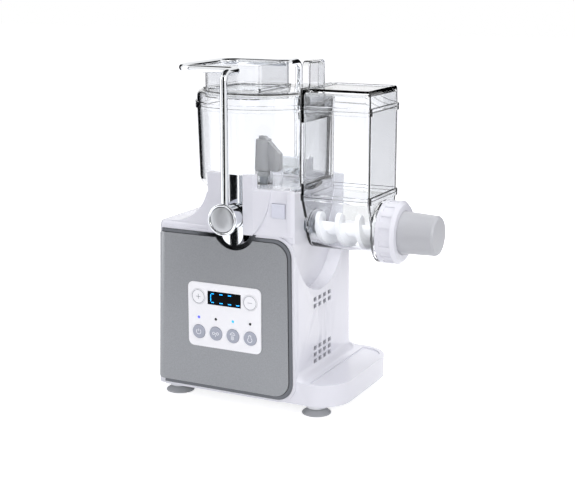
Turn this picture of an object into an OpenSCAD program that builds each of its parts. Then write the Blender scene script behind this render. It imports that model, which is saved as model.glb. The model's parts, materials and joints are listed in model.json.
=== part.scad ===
// Electric pasta maker: a kneading bowl and an extrusion chamber on a driven housing.
// X runs along the extrusion axis towards the outlet, Y away from the front panel and
// Z up from the table. Every module is drawn about the drive planes (x = 0 is the paddle
// axis, y = 0 the extrusion axis), and placed() moves it so that the base is centred.

/* [Housing] */
// Distance from the paddle axis to the left wall at its foot
body_left = 88.4; // [84:0.1:96]
// Distance from the paddle axis to the right wall at its foot
body_right = 62; // [61:0.5:66]
// Distance from the extrusion axis to the face of the front panel
body_front = 60; // [59:0.5:61]
// Distance from the extrusion axis to the back wall
body_back = 86; // [84:1:96]
// Height of the shoulder of the housing above the table
body_top = 169.5; // [168:0.5:171]
// Height of the underside above the table
body_base = 12; // [10:0.5:14]
// How far the left wall leans in from its foot to the shoulder
lean_left = 4.6; // [0:0.1:6]
// How far the right wall leans in from its foot to the shoulder
lean_right = 1.5; // [0:0.1:2]
// Rise of the shoulder's round edge behind the panel's top
shoulder_rise = 4.5; // [3.5:0.1:5]
// Thickness of the moulded shell
wall = 2.8; // [2:0.1:3.2]
// Radius of the front left corner of the shell with its panel
corner_front_left = 10; // [7:0.5:12]
// Radius of the front right corner of the shell
corner_front_right = 8; // [6:0.5:10]
// Radius of the two back corners of the shell
corner_back = 25; // [16:1:30]

/* [Tower] */
// Height of the tower's floor above the top of the panel
tower_h = 35; // [34.5:0.1:35.5]
// How far the tower's walls stand inside the radius of the bowl
tower_in = 3.5; // [3:0.1:4]
// Distance from the paddle axis to the left edge of the tower's floor
tower_left = 31.5; // [30.5:0.5:33]
// Height of the wall in front of the bowl above the tower's floor
horn_h = 7.5; // [5:0.5:9]
// Radius of the concave flank that runs down to the left shoulder
flank_r = 40; // [38:1:44]
// How far the ends of the concave flank stand inside the tower's walls
flank_in = 5; // [5:1:13]
// Distance from the paddle axis to the outer side of the left column
column_out = 25; // [24:0.5:26]
// Distance from the paddle axis to the outer edge of the right column
column_edge = 21.6; // [20:0.1:23]
// Half width of the channel between the columns
column_in = 11.2; // [10.8:0.1:12]
// How far the columns stand in front of the tower
column_proud = 4.5; // [4.5:0.1:5.5]
// Height of the columns above the tower's floor
column_h = 20.5; // [14:0.5:23]
// Distance from the paddle axis to the top end of the right column's flare
flare_reach = 36.8; // [35:0.2:38]
// Radius of the curve that the flare ends in
flare_r = 63.5; // [60:0.5:66]
// Depth of the recess round the release button
recess_depth = 1.6; // [1:0.1:1.7]
// Distance from the paddle axis to the right end of the recess
recess_right = 54.2; // [53:0.2:56]
// Height of the ramp at the foot of the recess
recess_ramp = 12; // [8:0.5:14]

/* [Saddle] */
// Thickness of the tower's sides beside the saddle that the extrusion chamber hangs in
saddle_side = 4.5; // [4:0.5:7]
// Depth of the centre of the saddle's round floor below the extrusion axis
saddle_down = 7.2; // [4:0.1:11]
// Distance from the paddle axis to the inner end of the saddle
saddle_x = 47; // [46.5:0.1:47.5]

/* [Tray] */
// Distance from the paddle axis to the right end of the tray
tray_right = 104; // [96:1:112]
// Height of the rim of the tray
tray_top = 33; // [28:0.5:38]
// Corner radius of the tray
tray_r = 30; // [20:1:34]
// Distance from the extrusion axis to the back of the tray
tray_back = 80; // [76:1:84]
// Radius of the fillet between the right wall and the tray
tray_fillet = 9; // [6:0.5:11]
// Depth of the dish in the top of the tray
dish_depth = 1.6; // [1:0.1:2.5]
// Width of the rim round the dish
dish_rim = 5; // [4:0.5:8]

/* [Front panel] */
// Depth that the panel stands in front of the shell
panel_depth = 4; // [3.5:0.1:4.5]
// Width of the white border outside the bevelled trim
border_w = 2.5; // [1.5:0.1:4]
// Width of the bevelled trim
trim_w = 3.5; // [2.5:0.1:5]
// How far the trim lies back from the face of the panel
trim_step = 1; // [0.5:0.1:1.5]
// Radius of the right corners of the panel
panel_r = 18; // [12:0.5:22]
// Radius of the left corners of the panel
panel_left_r = 6; // [3:0.5:9]
// Radius of the notch in the top edge of the panel
notch_r = 23; // [22:0.5:24]
// Height of the notch's centre above the top of the panel
notch_up = 6.5; // [4.5:0.5:8.5]
// Width of the trim round the notch
notch_trim = 5; // [3:0.1:6]

/* [Controls] */
// Width of the control fascia
fascia_w = 77.5; // [76:0.5:82]
// Height of the control fascia
fascia_h = 62.5; // [58:0.5:66]
// Thickness of the control fascia
fascia_t = 1.2; // [1:0.1:1.6]
// Corner radius of the control fascia
fascia_r = 5.5; // [3:0.5:9]
// Distance of the middle of the fascia to the left of the paddle axis
fascia_x = 10.5; // [6:0.5:14]
// Height of the middle of the fascia
fascia_z = 87.8; // [84:0.1:92]
// Width of the display window
display_w = 35.5; // [30:0.5:37]
// Height of the display window
display_h = 13.1; // [10:0.1:15]
// Height of the display's middle above the fascia's middle
display_up = 17.3; // [15:0.1:19]
// Radius of a round button
button_r = 6.6; // [5.5:0.1:7.4]
// Distance between neighbouring buttons
button_pitch = 18.3; // [17.5:0.1:19]
// Distance of the button row below the fascia's middle
button_down = 17; // [15:0.1:19]
// How far a button or key stands out of the fascia
button_proud = 0.8; // [0.4:0.1:1.4]
// Travel of a button or key
button_travel = 0.6; // [0.3:0.1:1]
// Radius of the plus and minus keys
key_r = 7.3; // [6:0.1:7.6]
// Distance of the plus and minus keys from the fascia's middle line
key_reach = 27.5; // [26.5:0.1:28]
// Radius of a status lamp
lamp_r = 1.3; // [0.8:0.1:1.8]
// Distance of the lamps below the fascia's middle
lamp_down = 3; // [2:0.1:4]

/* [Vents] */
// Width of a vent hole
vent_w = 6.5; // [4:0.5:8]
// Height of a vent hole
vent_h = 4.2; // [3:0.1:4.6]
// Distance between the vent holes of a row
vent_pitch = 10.6; // [9.5:0.1:11]
// Distance between the rows of vent holes
vent_row = 6.4; // [5.5:0.1:7]
// Height of the lower grille above the rim of the tray
vent_up = 7; // [7:0.5:14]
// Depth of the foot of the upper grille below the saddle
vent_drop = 16; // [12:0.5:24]

/* [Feet] */
// Radius of a suction foot
foot_r = 13.8; // [10:0.1:15]
// Height of a suction foot's rim
foot_rim = 2.4; // [1.5:0.1:4]
// Radius of the neck of a suction foot
foot_neck = 6; // [4:0.1:8]
// Distance of the left feet from the paddle axis
foot_left = 74.5; // [68:0.5:76]
// Distance of the right feet from the paddle axis
foot_right = 74; // [70:0.5:84]
// Distance of the front feet from the extrusion axis
foot_front = 37; // [30:0.5:42]
// Distance of the back feet from the extrusion axis
foot_back = 70; // [62:0.5:72]
// Radius of the boss over a suction foot
foot_boss = 9.5; // [8:0.1:11]
// Height of the boss's face above the table
foot_boss_z = 6; // [5:0.5:8]
// Thickness of the base plate
base_t = 3; // [2.5:0.1:3.5]

/* [Bail] */
// Radius of the bail's wire
wire_r = 3.4; // [3:0.1:3.8]
// Distance from the extrusion axis to a leg of the bail
bail_half = 76; // [75:0.1:78]
// Depth of the bail's pivot below the tower's floor
pivot_down = 19; // [17.5:0.1:20.5]
// Height of the bail's top above the bowl's lid
bail_rise = 20; // [19:0.5:27]
// Half the width of the bail's grip
grip_half = 47; // [46:0.1:50]
// Distance from the paddle axis to the cross end of the grip
grip_reach = 67; // [58:0.5:70]
// Bend radius of the bail's wire
bend_r = 8; // [6:0.5:10]
// Bend radius of the grip's two end corners
grip_r = 17; // [10:0.5:22]
// Radius of a pivot cap
cap_r = 14.7; // [12:0.1:15.5]
// Thickness of a pivot cap outside the wire
cap_t = 3.2; // [2:0.1:4]
// Radius of the hub behind a pivot cap
hub_r = 11.2; // [9:0.1:12]
// Radius of a pivot pin
pin_r = 5; // [4:0.1:6]
// Thickness of the guide strip behind a leg
guide_t = 1.2; // [0.8:0.1:1.2]

/* [Kneading bowl] */
// Radius of the bowl under its rim
bowl_r = 62.5; // [61:0.1:62.5]
// How much narrower the bowl is above its round bottom edge
bowl_draft = 1.7; // [1.5:0.1:3]
// Height of the bowl
bowl_h = 78.4; // [73:0.2:79]
// Thickness of the clear walls
clear_t = 2.2; // [1.6:0.1:2.6]
// How far the rims stand out from the walls
rim_out = 1.5; // [1:0.1:1.8]
// Height of the rims
rim_h = 3; // [2:0.1:4]
// Radius of the round bottom edge of the bowl
bowl_fillet = 12; // [8:0.5:14]
// Distance from the paddle axis to the bowl's flat side
bowl_flat = 53.4; // [52.5:0.1:54]
// Height of the shaft boss above the bowl's floor
boss_h = 12.5; // [10:0.1:13]
// Outer radius of the shaft boss
boss_r = 8.6; // [8:0.1:10]
// Height of the bowl's lid
lid_h = 14; // [12:0.5:15]

/* [Filler cup] */
// Distance from the paddle axis to the cup's left side
cup_left = 45; // [42:0.5:46]
// Distance from the paddle axis to the cup's right side
cup_right = 11.5; // [8:0.5:20]
// Half the depth of the cup
cup_half = 35; // [30:0.5:36]
// Height of the cup's rim above the bowl's lid
cup_rise = 23; // [15:0.5:24]
// Corner radius of the cup
cup_r = 6; // [3:0.5:9]
// Thickness of the cup's walls
cup_t = 1.8; // [1.4:0.1:2.2]
// Depth of the cup below the top of the lid
cup_sink = 8; // [5:0.5:10]

/* [Paddle] */
// Radius of the paddle's hub at its foot
paddle_r = 8.6; // [8:0.1:9.5]
// Height of the paddle
paddle_h = 32.5; // [26:0.5:38]
// Reach of the paddle's fin from its axis
fin_reach = 21; // [16:0.5:40]
// Thickness of the paddle's fin
fin_t = 5; // [3:0.1:7]
// Height of the outer edge of the fin
fin_tip_h = 13; // [8:0.5:18]
// Turn of the fin away from the outlet's side
fin_turn = -12; // [-40:1:40]

/* [Extrusion chamber] */
// Distance from the paddle axis to the chamber's right side
chamber_right = 122.5; // [116:0.5:126]
// Half the depth of the chamber
chamber_half = 35.5; // [34:0.1:37]
// Corner radius of the chamber
chamber_r = 5; // [3:0.5:7]
// Height of the seam between the chamber and its trough above the extrusion axis
seam_up = 31.8; // [30.5:0.1:33]
// Height of the chamber's lid
chamber_lid_h = 19; // [16:0.5:22]
// Depth of the extrusion axis below the tower's floor
axis_down = 32.8; // [32:0.1:34]
// Outer radius of the trough
trough_r = 21; // [20.5:0.1:22]
// Distance from the paddle axis to the trough's inner end
trough_left = 55; // [54:0.1:56]

/* [Shutter] */
// Thickness of the shutter between bowl and chamber
shutter_t = 2.4; // [1.8:0.1:2.6]
// Half the depth of the shutter
shutter_half = 32; // [28:0.5:33]
// Height of the shutter's lower edge above the tower's floor
shutter_sill = 7.5; // [4:0.5:13]
// Thickness of the shutter's handle
grip_t = 8; // [6:0.1:9]
// Half the depth of the shutter's handle
grip_w = 16.5; // [12:0.5:20]
// Height of the shutter's handle above the chamber's lid
grip_h = 23; // [16:0.5:26]

/* [Auger] */
// Clearance between the auger's flight and the trough
flight_gap = 0.6; // [0.4:0.1:1]
// Radius of the auger's core
core_r = 7; // [6:0.1:8]
// Pitch of the auger's flight
auger_pitch = 20; // [16:0.5:26]
// Thickness of the auger's flight
flight_t = 4; // [3:0.1:5]

/* [Outlet] */
// Radius of the chamber's outlet flange
flange_r = 29; // [27:0.1:30]
// Thickness of the outlet flange
flange_t = 3.5; // [3:0.1:4.5]
// Radius of the ring nut
nut_r = 29.2; // [27:0.1:30]
// Length of the ring nut
nut_l = 17.5; // [15:0.5:20]
// Number of grip ribs round the ring nut
nut_ribs = 16; // [10:1:20]
// Length of the nozzle in front of the ring nut
nozzle_l = 33.5; // [26:0.5:38]
// Radius of the nozzle at the ring nut
nozzle_r = 20; // [18:0.1:21]
// Radius of the nozzle at its closed end
nozzle_end_r = 18.3; // [17:0.1:20]
// Thickness of the nozzle's wall
nozzle_t = 3; // [2.4:0.1:3.6]
// Radius of a hole of the die
die_r = 1.1; // [0.8:0.1:1.4]

/* [Drive] */
// Tooth size of the final stage
final_mod = 1.25; // [1.2:0.01:1.28]
// Tooth size of the first stage
first_mod = 1; // [0.95:0.01:1.05]
// Pitch radius of the bevel gears
bevel_r = 15; // [14.5:0.1:15.2]
// Backlash of the gears
backlash = 0.24; // [0.2:0.01:0.35]
// Radius of the drive shaft
shaft_r = 5; // [4:0.1:5.4]
// Radius of the countershaft
counter_r = 4; // [3.5:0.1:4.5]
// Radius of the motor's shaft
motor_shaft_r = 2.5; // [2:0.1:3]
// Radius of the upright shaft of the paddle
knead_r = 4; // [3.5:0.1:4.4]
// Radius of the motor's can
motor_r = 29; // [24:0.5:30]
// Length of the motor's can
motor_l = 70; // [50:1:76]
// Thickness of the gearbox plates
plate_t = 3; // [2.5:0.1:3.4]
// Wall of the bearing bushes
bush_t = 1.6; // [1.2:0.1:2]

/* [Cord gland] */
// Bore radius of the gland for the mains lead
gland_r = 3.7; // [3:0.1:4.5]
// Wall of the gland
gland_wall = 2.4; // [1.8:0.1:3]
// Width of the gland's flange beyond its wall
gland_lip = 2.6; // [2:0.1:4]
// Distance of the gland to the left of the paddle axis
gland_x = 40; // [20:1:55]
// Height of the gland above the table
gland_z = 34; // [28:0.5:60]

/* [Fits] */
// Radial clearance of a turning shaft in its bush
run_gap = 0.05; // [0.02:0.01:0.09]
// Clearance between a moving piece and what it passes
move_gap = 0.3; // [0.3:0.05:0.5]
// Clearance between a fixed piece and the seat that it drops into
seat_gap = 0.1; // [0.05:0.05:0.2]

/* [Hidden] */
$fn = 48;
hull_fn = 32;
arc_steps = 8;
eps = 0.01;
far = 400;
cut = 1;
edge_r = 1;

WHITE = "#f2f3f7";
SILVER = "#a8aaad";
CHROME = "#d8dade";
GREY = "#8c8c8c";
LILAC = "#b9bcc6";
DARK = "#6f7173";
BLACK = "#101114";
STEEL = "#9aa0a6";
BRASS = "#c2a04e";
BOARD = "#2f7d4a";
CLEAR = [0.93, 0.96, 0.98, 0.35];

// Housing
shell_front = body_front - panel_depth;
inner_r = corner_front_left - panel_depth;
lip_step = 2 * trim_step;
crown_steps = 4;
tower_half = bowl_r - tower_in;
flank_half = tower_half - flank_in;
saddle_r = tower_half - saddle_side;
shoulder_z = body_top + shoulder_rise;
tower_top = body_top + tower_h;
tower_roof = tower_top - wall;
tower_right = body_right - lean_right;
tower_front_left = column_out - 2;
horn_top = tower_top + horn_h;
axis_z = tower_top - axis_down;
saddle_z = axis_z - saddle_down;
saddle_wall = saddle_x - wall;
column_face = tower_half + column_proud;
column_top = tower_top + column_h;
column_root = wall + 4;
column_slant = 2.5;
bowl_low_r = bowl_r - bowl_draft;
column_back = bowl_low_r + 2 * seat_gap + move_gap;
recess_face = tower_half - recess_depth;
recess_low = body_top + 2.5;
recess_r = (recess_ramp * recess_ramp + recess_depth * recess_depth) / (2 * recess_depth);
recess_angle = asin(recess_ramp / recess_r);
recess_pad_x = 26.5;
tray_floor = body_base + base_t;
dish_r = 1;
dish_x = body_right + tray_fillet + dish_rim / 2;
dish_end = tray_right - dish_rim;
dish_corner = min(tray_r - dish_rim, dish_end - dish_x - 2 * dish_r);
flank_rise = tower_top - shoulder_z;
flank_x = -tower_left - sqrt(flank_rise * (2 * flank_r - flank_rise));
notch_z = body_top + notch_up;
pivot_z = tower_top - pivot_down;
guide_in = 0.8;
guide_short = 1;
guide_foot = max(shell_front, tower_half);
guide_face = column_face - guide_in;
guide_half = column_in - seat_gap;
pivot_boss_r = pin_r + wall;
pivot_boss_in = 9;
vent_columns = 4;
vent_rows_high = 2;
vent_rows_low = 3;
vent_mid = 1.3;
vent_low = tray_top + vent_up;
vent_high = saddle_z - saddle_r - vent_drop;
screw_r = 1.5;
screw_l = 13;
screw_boss_r = 4;
screw_head_r = 2.8;
screw_head_t = 1.6;
boss_inset = wall + screw_head_r + 3 * seat_gap;
screw_slot = [2.4, 0.6, 1.6];
left_screw_y = [-20, 40];
tray_screw_y = [0, 36];
screw_places = concat([for (y = left_screw_y) [-body_left + boss_inset, y]],
    [for (y = tray_screw_y) [tray_right - boss_inset, y]], [[0, body_back - boss_inset]]);
foot_places = [[-foot_left, -foot_front], [foot_right, -foot_front],
    [foot_right, foot_back], [-foot_left, foot_back]];
foot_edge = 1;
foot_slope = 2;
stud_r = 3;
stud_h = 4;

// Controls
fascia_face = body_front + fascia_t;
display_z = fascia_z + display_up;
button_z = fascia_z - button_down;
lamp_z = fascia_z - lamp_down;
key_z = display_z;
button_x = [for (i = [0 : 3]) -fascia_x + (i - 1.5) * button_pitch];
window_rim = 2;
board_t = 1.6;
board_face = shell_front - wall;
board_rim = 3;
key_stem_r = 2.2;
key_head_t = 4;
key_flange = 0.8;
key_flange_t = 1.2;
release_w = 13.2;
release_x = 44.9;
release_z = tower_top - 11.2;
release_t = 2.2;
release_proud = 1.8;
release_travel = 0.8;
release_stem_r = 2;
release_stem_x = saddle_wall - release_stem_r - 2 * move_gap;
release_stem_in = 8;
release_back = recess_face + release_proud - release_t;
switch_x = 11;
switch_size = [15, 6, 11];
power_inset = [16, 14];
power_gap = 2;
power_x = [-body_left + power_inset[0], -power_inset[0]];
power_y = [motor_r + power_gap, body_back - power_inset[1]];
standoff_h = 4;
standoff_r = 3;
standoff_in = 4;
transformer_size = [24, 20, 20];
transformer_in = [6, 16];
capacitor_r = 5;
capacitor_h = 18;
capacitor_x = [38, 50];
capacitor_y = 12;

// Bowls
bowl_base = tower_top + seat_gap;
bowl_rim = bowl_base + bowl_h;
boss_top = bowl_base + clear_t + boss_h;
lid_base = bowl_rim + move_gap;
lid_top = bowl_rim + lid_h;
bail_top = lid_top + bail_rise;
hub_over = 0.4;
hub_end = bail_half + wire_r + hub_over;
cap_rim = 1.6;
cap_dish = 0.5;
cap_core = 1;
leg_start = 1;
shutter_base = tower_top + shutter_sill;
shutter_x = bowl_flat + move_gap;
shutter_end = shutter_x + shutter_t;
chamber_left = shutter_end + move_gap;
chamber_rim = bowl_rim;
chamber_lid_top = chamber_rim + chamber_lid_h;
chamber_lid_edge = 2;
chamber_lid_bevel = 1.4;
chamber_lid_sink = 1;
chamber_lid_border = 4;
seam_z = axis_z + seam_up;
grip_round = 6;
grip_pocket = lid_top + 3;
window_rim_x = 3;
window_half = shutter_half - window_rim_x;
window_base = shutter_base + window_rim_x;
window_top = bowl_rim - 4 * window_rim_x;
cup_top = lid_top + cup_rise;
cup_floor = lid_top - cup_sink;
cup_lip = 2;
cup_slots = 5;
cup_slot_w = 3;
cup_slot_pitch = 8;
cup_slot_x = 10;
cup_slot_end = 12;
trough_in = trough_r - clear_t;
flight_r = trough_in - flight_gap;
paddle_base = boss_top + move_gap;
paddle_top = paddle_base + paddle_h;
paddle_cap = 3;
paddle_taper = 1.2;
fin_back = [5, 4];
fin_crest = 2;
fin_drop = 4;
fin_round = 3;

// Outlet
flange_end = chamber_right + flange_t;
collar_l = 8;
collar_end = flange_end + collar_l;
seal_t = 2;
seal_x = collar_end + seat_gap;
die_x = seal_x + seal_t + seat_gap;
die_flange_t = 3;
nut_x = flange_end + move_gap;
nut_end = nut_x + nut_l;
nozzle_end = nut_end + nozzle_l;
nut_wall = 3;
nut_edge = 3;
nut_inner = nut_r - nut_wall;
pocket_in = 4;
pocket_w = 6;
pocket_t = 1;
collar_r = nut_inner - move_gap;
nut_front_t = nut_end - die_x - die_flange_t - move_gap;
die_flat = 16.6;
die_slot_in = 3;
die_in = 6;
die_pitch = 3.6;
die_columns = 7;
die_rows = 5;
nozzle_round_l = 2;
nozzle_round = 1.6;

// Drive train, along the extrusion axis
final_teeth = 44;
pinion_teeth = 12;
first_teeth = 48;
bevel_teeth = 16;
pressure = 25;
addendum = 0.9;
dedendum = 1.15;
counter_z = axis_z - final_mod * (final_teeth + pinion_teeth) / 2;
motor_z = counter_z - first_mod * (first_teeth + pinion_teeth) / 2;
bevel_w = 4.2;
bevel_hub = 4.4;
bevel_hub_r = 9;
plate_in = bevel_r + bevel_hub + 2 * move_gap;
gear_w = 8;
first_w = 5;
gear_x = plate_in + plate_t + 1;
first_x = gear_x + gear_w + 2;
plate_out = first_x + first_w + 1;
gap_end = plate_out + plate_t + move_gap;
plate_half = 31;
plate_high = tower_roof - 3;
plate_foot_r = 2;
plate_top_r = 12;
shaft_hole_gap = 1;
spacer_r = 4;
spacer_low = tray_floor + 12;
spacer_rise = 50;
spacer_y = plate_half - 6;
motor_x1 = plate_in;
motor_x0 = motor_x1 - motor_l;
fan_w = 7;
fan_r = 24;
fan_hub_r = 7;
fan_blades = 7;
fan_blade_t = 1.6;
fan_twist = 18;
fan_x = motor_x0 - fan_w - 1;
bracket_w = 4;
bracket_half = motor_r + 1;
bracket_drop = 6;
bracket_in = 10;
can_end_l = 6;
can_end_step = 3;
bevel_mod = 2 * bevel_r / bevel_teeth;
coupling_r = 8.5;
coupling_end = trough_left - move_gap;
coupling_shaft = 3;
hex_r = 5;
auger_x0 = trough_left + clear_t + move_gap;
auger_x1 = chamber_right - 2;
auger_slices = 48;
shaft_in = bevel_r - bevel_w;
knead_low = axis_z + bevel_r - bevel_w;
shaft_rise = 22;
knead_high = boss_top + shaft_rise;
bush_flange_t = 3;
bush_flange_out = 3;
seal_h = 5;

// Extents, which give the centre of the base
origin_x = (nozzle_end - max(body_left, grip_reach + wire_r)) / 2;
back_reach = max(body_back + gland_lip, bail_half + wire_r + cap_t);
origin_y = (back_reach - bail_half - wire_r - cap_t) / 2;

// Placing and drawing aids
module placed() {
    translate([-origin_x, -origin_y, 0]) children();
}

function arc_pts(cx, cy, r, a0, a1) =
    [for (i = [0 : arc_steps]) let (a = a0 + (a1 - a0) * i / arc_steps)
        [cx + r * cos(a), cy + r * sin(a)]];

// A rounded rectangle; r holds the radii of its corners, anticlockwise from the lower left
function box_pts(x0, x1, y0, y1, r) = concat(
    arc_pts(x0 + r[0], y0 + r[0], r[0], 180, 270),
    arc_pts(x1 - r[1], y0 + r[1], r[1], 270, 360),
    arc_pts(x1 - r[2], y1 - r[2], r[2], 0, 90),
    arc_pts(x0 + r[3], y1 - r[3], r[3], 90, 180));

function even(r) = [r, r, r, r];

module box_2d(x0, x1, y0, y1, r) {
    polygon(box_pts(x0, x1, y0, y1, r));
}

// Extrudes an outline drawn in X and Z along Y, from y0 to y1
module along_y(y0, y1) {
    translate([0, y1, 0]) rotate([90, 0, 0]) linear_extrude(y1 - y0) children();
}

// Extrudes an outline drawn in Y and Z along X, from x0 to x1
module along_x(x0, x1) {
    translate([x0, 0, 0]) rotate([90, 0, 90]) linear_extrude(x1 - x0) children();
}

module along_z(z0, z1) {
    translate([0, 0, z0]) linear_extrude(z1 - z0) children();
}

module rod_x(x0, x1, r, z = axis_z) {
    translate([x0, 0, z]) rotate([0, 90, 0]) cylinder(h = x1 - x0, r = r);
}

module rod_y(y0, y1, r, x = 0, z = pivot_z) {
    translate([x, y0, z]) rotate([-90, 0, 0]) cylinder(h = y1 - y0, r = r);
}

module rod_z(z0, z1, r, x = 0, y = 0) {
    translate([x, y, z0]) cylinder(h = z1 - z0, r = r);
}

module cone_x(x0, x1, r0, r1) {
    translate([x0, 0, axis_z]) rotate([0, 90, 0]) cylinder(h = x1 - x0, r1 = r0, r2 = r1);
}

module mirrored_y() {
    children();
    mirror([0, 1, 0]) children();
}

module left_of(x) {
    translate([x - far, -far / 2, 0]) cube([far, far, far]);
}

// Gears: the outline of involute teeth
function involute(rb, t) = [rb * (cos(t) + t * PI / 180 * sin(t)),
    rb * (sin(t) - t * PI / 180 * cos(t))];

function turned(p, a) = [p[0] * cos(a) - p[1] * sin(a), p[0] * sin(a) + p[1] * cos(a)];

function unroll(rb, r) = r <= rb ? 0 : sqrt(r * r / (rb * rb) - 1) * 180 / PI;

// One flank of the tooth whose middle lies on +X, from its root to its tip
function tooth_side(teeth, m) = let (
        pitch_r = m * teeth / 2,
        base_r = pitch_r * cos(pressure),
        tip_r = pitch_r + addendum * m,
        root_r = pitch_r - dedendum * m,
        lead = involute(base_r, unroll(base_r, pitch_r)),
        half = 90 / teeth - backlash / (4 * pitch_r) * 180 / PI,
        turn = half + atan2(lead[1], lead[0]),
        low_r = max(base_r, root_r))
    concat([turned([root_r, 0], -turn)],
        [for (i = [0 : 4]) let (r = low_r + (tip_r - low_r) * i / 4)
            turned(involute(base_r, unroll(base_r, r)), -turn)]);

function gear_pts(teeth, m) = let (side = tooth_side(teeth, m), last = len(side) - 1)
    [for (k = [0 : teeth - 1]) let (a = 360 * k / teeth)
        each concat([for (p = side) turned(p, a)],
            [for (i = [last : -1 : 0]) turned([side[i][0], -side[i][1]], a)])];

// A spur gear on an axis along X; phase turns its first tooth away from +Y
module spur_gear(x0, w, z, teeth, m, phase, bore) {
    difference() {
        translate([0, 0, z]) along_x(x0, x0 + w) rotate(phase) polygon(gear_pts(teeth, m));
        rod_x(x0 - cut, x0 + w + cut, bore + seat_gap / 2, z);
    }
}

// A bevel gear about Z: its back lies at z = 0, its teeth narrow towards +Z
module bevel_gear(phase, bore) {
    difference() {
        union() {
            linear_extrude(bevel_w, scale = (bevel_r - bevel_w) / bevel_r)
                rotate(phase) polygon(gear_pts(bevel_teeth, bevel_mod));
            translate([0, 0, -bevel_hub]) cylinder(h = bevel_hub, r = bevel_hub_r);
        }
        translate([0, 0, -bevel_hub - cut])
            cylinder(h = bevel_hub + bevel_w + 2 * cut, r = bore + seat_gap / 2);
    }
}

// Housing
// A block whose side walls lean in and whose top edge is a quarter round of the crown's
// radius; r holds its corner radii as in box_pts
module leaning_block(x0, x1, y0, y1, r, z0, z1, crown = 0) {
    steps = crown > 0 ? crown_steps : 0;
    hull() {
        corner_posts(x0, x1, y0, y1, r, z0, 0);
        for (i = [0 : steps]) {
            a = steps > 0 ? 90 * i / steps : 0;
            corner_posts(x0 + lean_left, x1 - lean_right, y0, y1, r, z1 + crown * sin(a) - eps,
                crown * (1 - cos(a)));
        }
    }
}

// Four thin discs at the corners of a rounded rectangle that is shrunk by the inset
module corner_posts(x0, x1, y0, y1, r, z, inset) {
    radii = [for (corner = r) max(corner - inset, edge_r)];
    left = x0 + inset;
    right = x1 - inset;
    front = y0 + inset;
    back = y1 - inset;
    corner_post(left + radii[0], front + radii[0], z, radii[0]);
    corner_post(right - radii[1], front + radii[1], z, radii[1]);
    corner_post(right - radii[2], back - radii[2], z, radii[2]);
    corner_post(left + radii[3], back - radii[3], z, radii[3]);
}

module corner_post(x, y, z, r) {
    translate([x, y, z]) cylinder(h = eps, r = r, $fn = hull_fn);
}

module body_block(inset, z0, z1, crown = 0) {
    leaning_block(-body_left + inset, body_right - inset, -shell_front + inset,
        body_back - inset, [inner_r - inset, corner_front_right - inset,
        corner_back - inset, corner_back - inset], z0, z1, crown);
}

module tray_outline(inset) {
    box_2d(0, tray_right - inset, -shell_front + inset, tray_back - inset,
        [edge_r, tray_r - inset, tray_r - inset, edge_r]);
}

// The concave fillet in which the right wall runs out onto the tray
module tray_blend() {
    z = tray_top + tray_fillet;
    wall_x = right_wall(z) - 5 * eps;
    front = -shell_front + corner_front_right;
    back = body_back - corner_back;
    intersection() {
        along_z(tray_top - wall, z) tray_outline(0);
        union() {
            along_y(front, back) fillet_2d(wall_x);
            translate([wall_x - corner_front_right, front, 0])
                rotate([0, 0, -90]) rotate_extrude(angle = 90, $fn = 96)
                    fillet_2d(corner_front_right);
            translate([wall_x - corner_back, back, 0])
                rotate_extrude(angle = 90, $fn = 96) fillet_2d(corner_back);
        }
    }
}

// Section of the fillet beside a wall at x, drawn in X and Z
module fillet_2d(x) {
    z = tray_top + tray_fillet;
    polygon(concat([[x - wall, z], [x - wall, tray_top - wall], [x + tray_fillet, tray_top - wall]],
        arc_pts(x + tray_fillet, z, tray_fillet, 270, 180)));
}

// The concave flank from the tower's floor down to the left shoulder
module flank(inset) {
    z = shoulder_z + flank_r;
    r = flank_r + inset;
    low = shoulder_z - 2 * wall;
    start = -asin((z - tower_top + inset) / r);
    along_y(-flank_half + inset, flank_half - inset)
        polygon(concat([[0, low], [0, tower_top - inset]],
            arc_pts(flank_x, z, r, start, -90), [[flank_x, low]]));
}

module tower_outline(inset) {
    r = corner_front_right - inset;
    edge = inset / 2 + edge_r;
    box_2d(-tower_front_left + inset, tower_right - inset, -tower_half + inset,
        tower_half - inset, [edge, r, r, edge]);
    box_2d(-tower_left + inset, 0, -flank_half + inset, flank_half - inset,
        [edge, edge, edge, edge]);
}

// The open round recess that the trough hangs in
module saddle(grow, x0) {
    along_x(x0, far) {
        translate([0, saddle_z]) circle(r = saddle_r + grow, $fn = 96);
        translate([-saddle_r - grow, saddle_z]) square([2 * (saddle_r + grow), far]);
    }
}

// Two pairs of columns with the channel of the bail between them
module columns() {
    back = column_face - column_root - column_proud;
    mirrored_y() {
        translate([-column_out, -column_face, body_top])
            cube([column_out - column_in, column_face - back, column_top - body_top]);
        along_z(horn_top - cut, column_top)
            polygon([[column_in, -column_face], [column_edge, -column_face],
                [column_edge + column_slant, -back], [column_in, -back]]);
        intersection() {
            along_z(body_top, horn_top)
                polygon([[column_in, -column_face], [column_edge, -column_face],
                    [flare_reach, -tower_half], [flare_reach, -back], [column_in, -back]]);
            flare_region(0);
        }
    }
}

// All that lies within the curve in which the flare of the right column ends
module flare_region(grow) {
    rod_y(-far / 2, far / 2, flare_r + grow, flare_reach - flare_r, horn_top, $fn = 180);
}

// The recess round the release button, with a concave ramp at its foot
module recess(grow) {
    low = recess_low - grow;
    high = recess_low + recess_ramp;
    difference() {
        along_x(grow > 0 ? recess_pad_x : column_edge, recess_right + grow)
            polygon(grow > 0
                ? [[-tower_half, low], [-recess_face + grow, low], [-recess_face + grow, far],
                    [-tower_half, far]]
                : concat([[-tower_half - cut, far], [-tower_half - cut, low]],
                    [for (i = [0 : arc_steps]) let (a = recess_angle * (1 - i / arc_steps))
                        [-recess_face - recess_r * (1 - cos(a)), high - recess_r * sin(a)]],
                    [[-recess_face, far]]));
        if (grow == 0)
            flare_region(seat_gap);
    }
}

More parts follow.
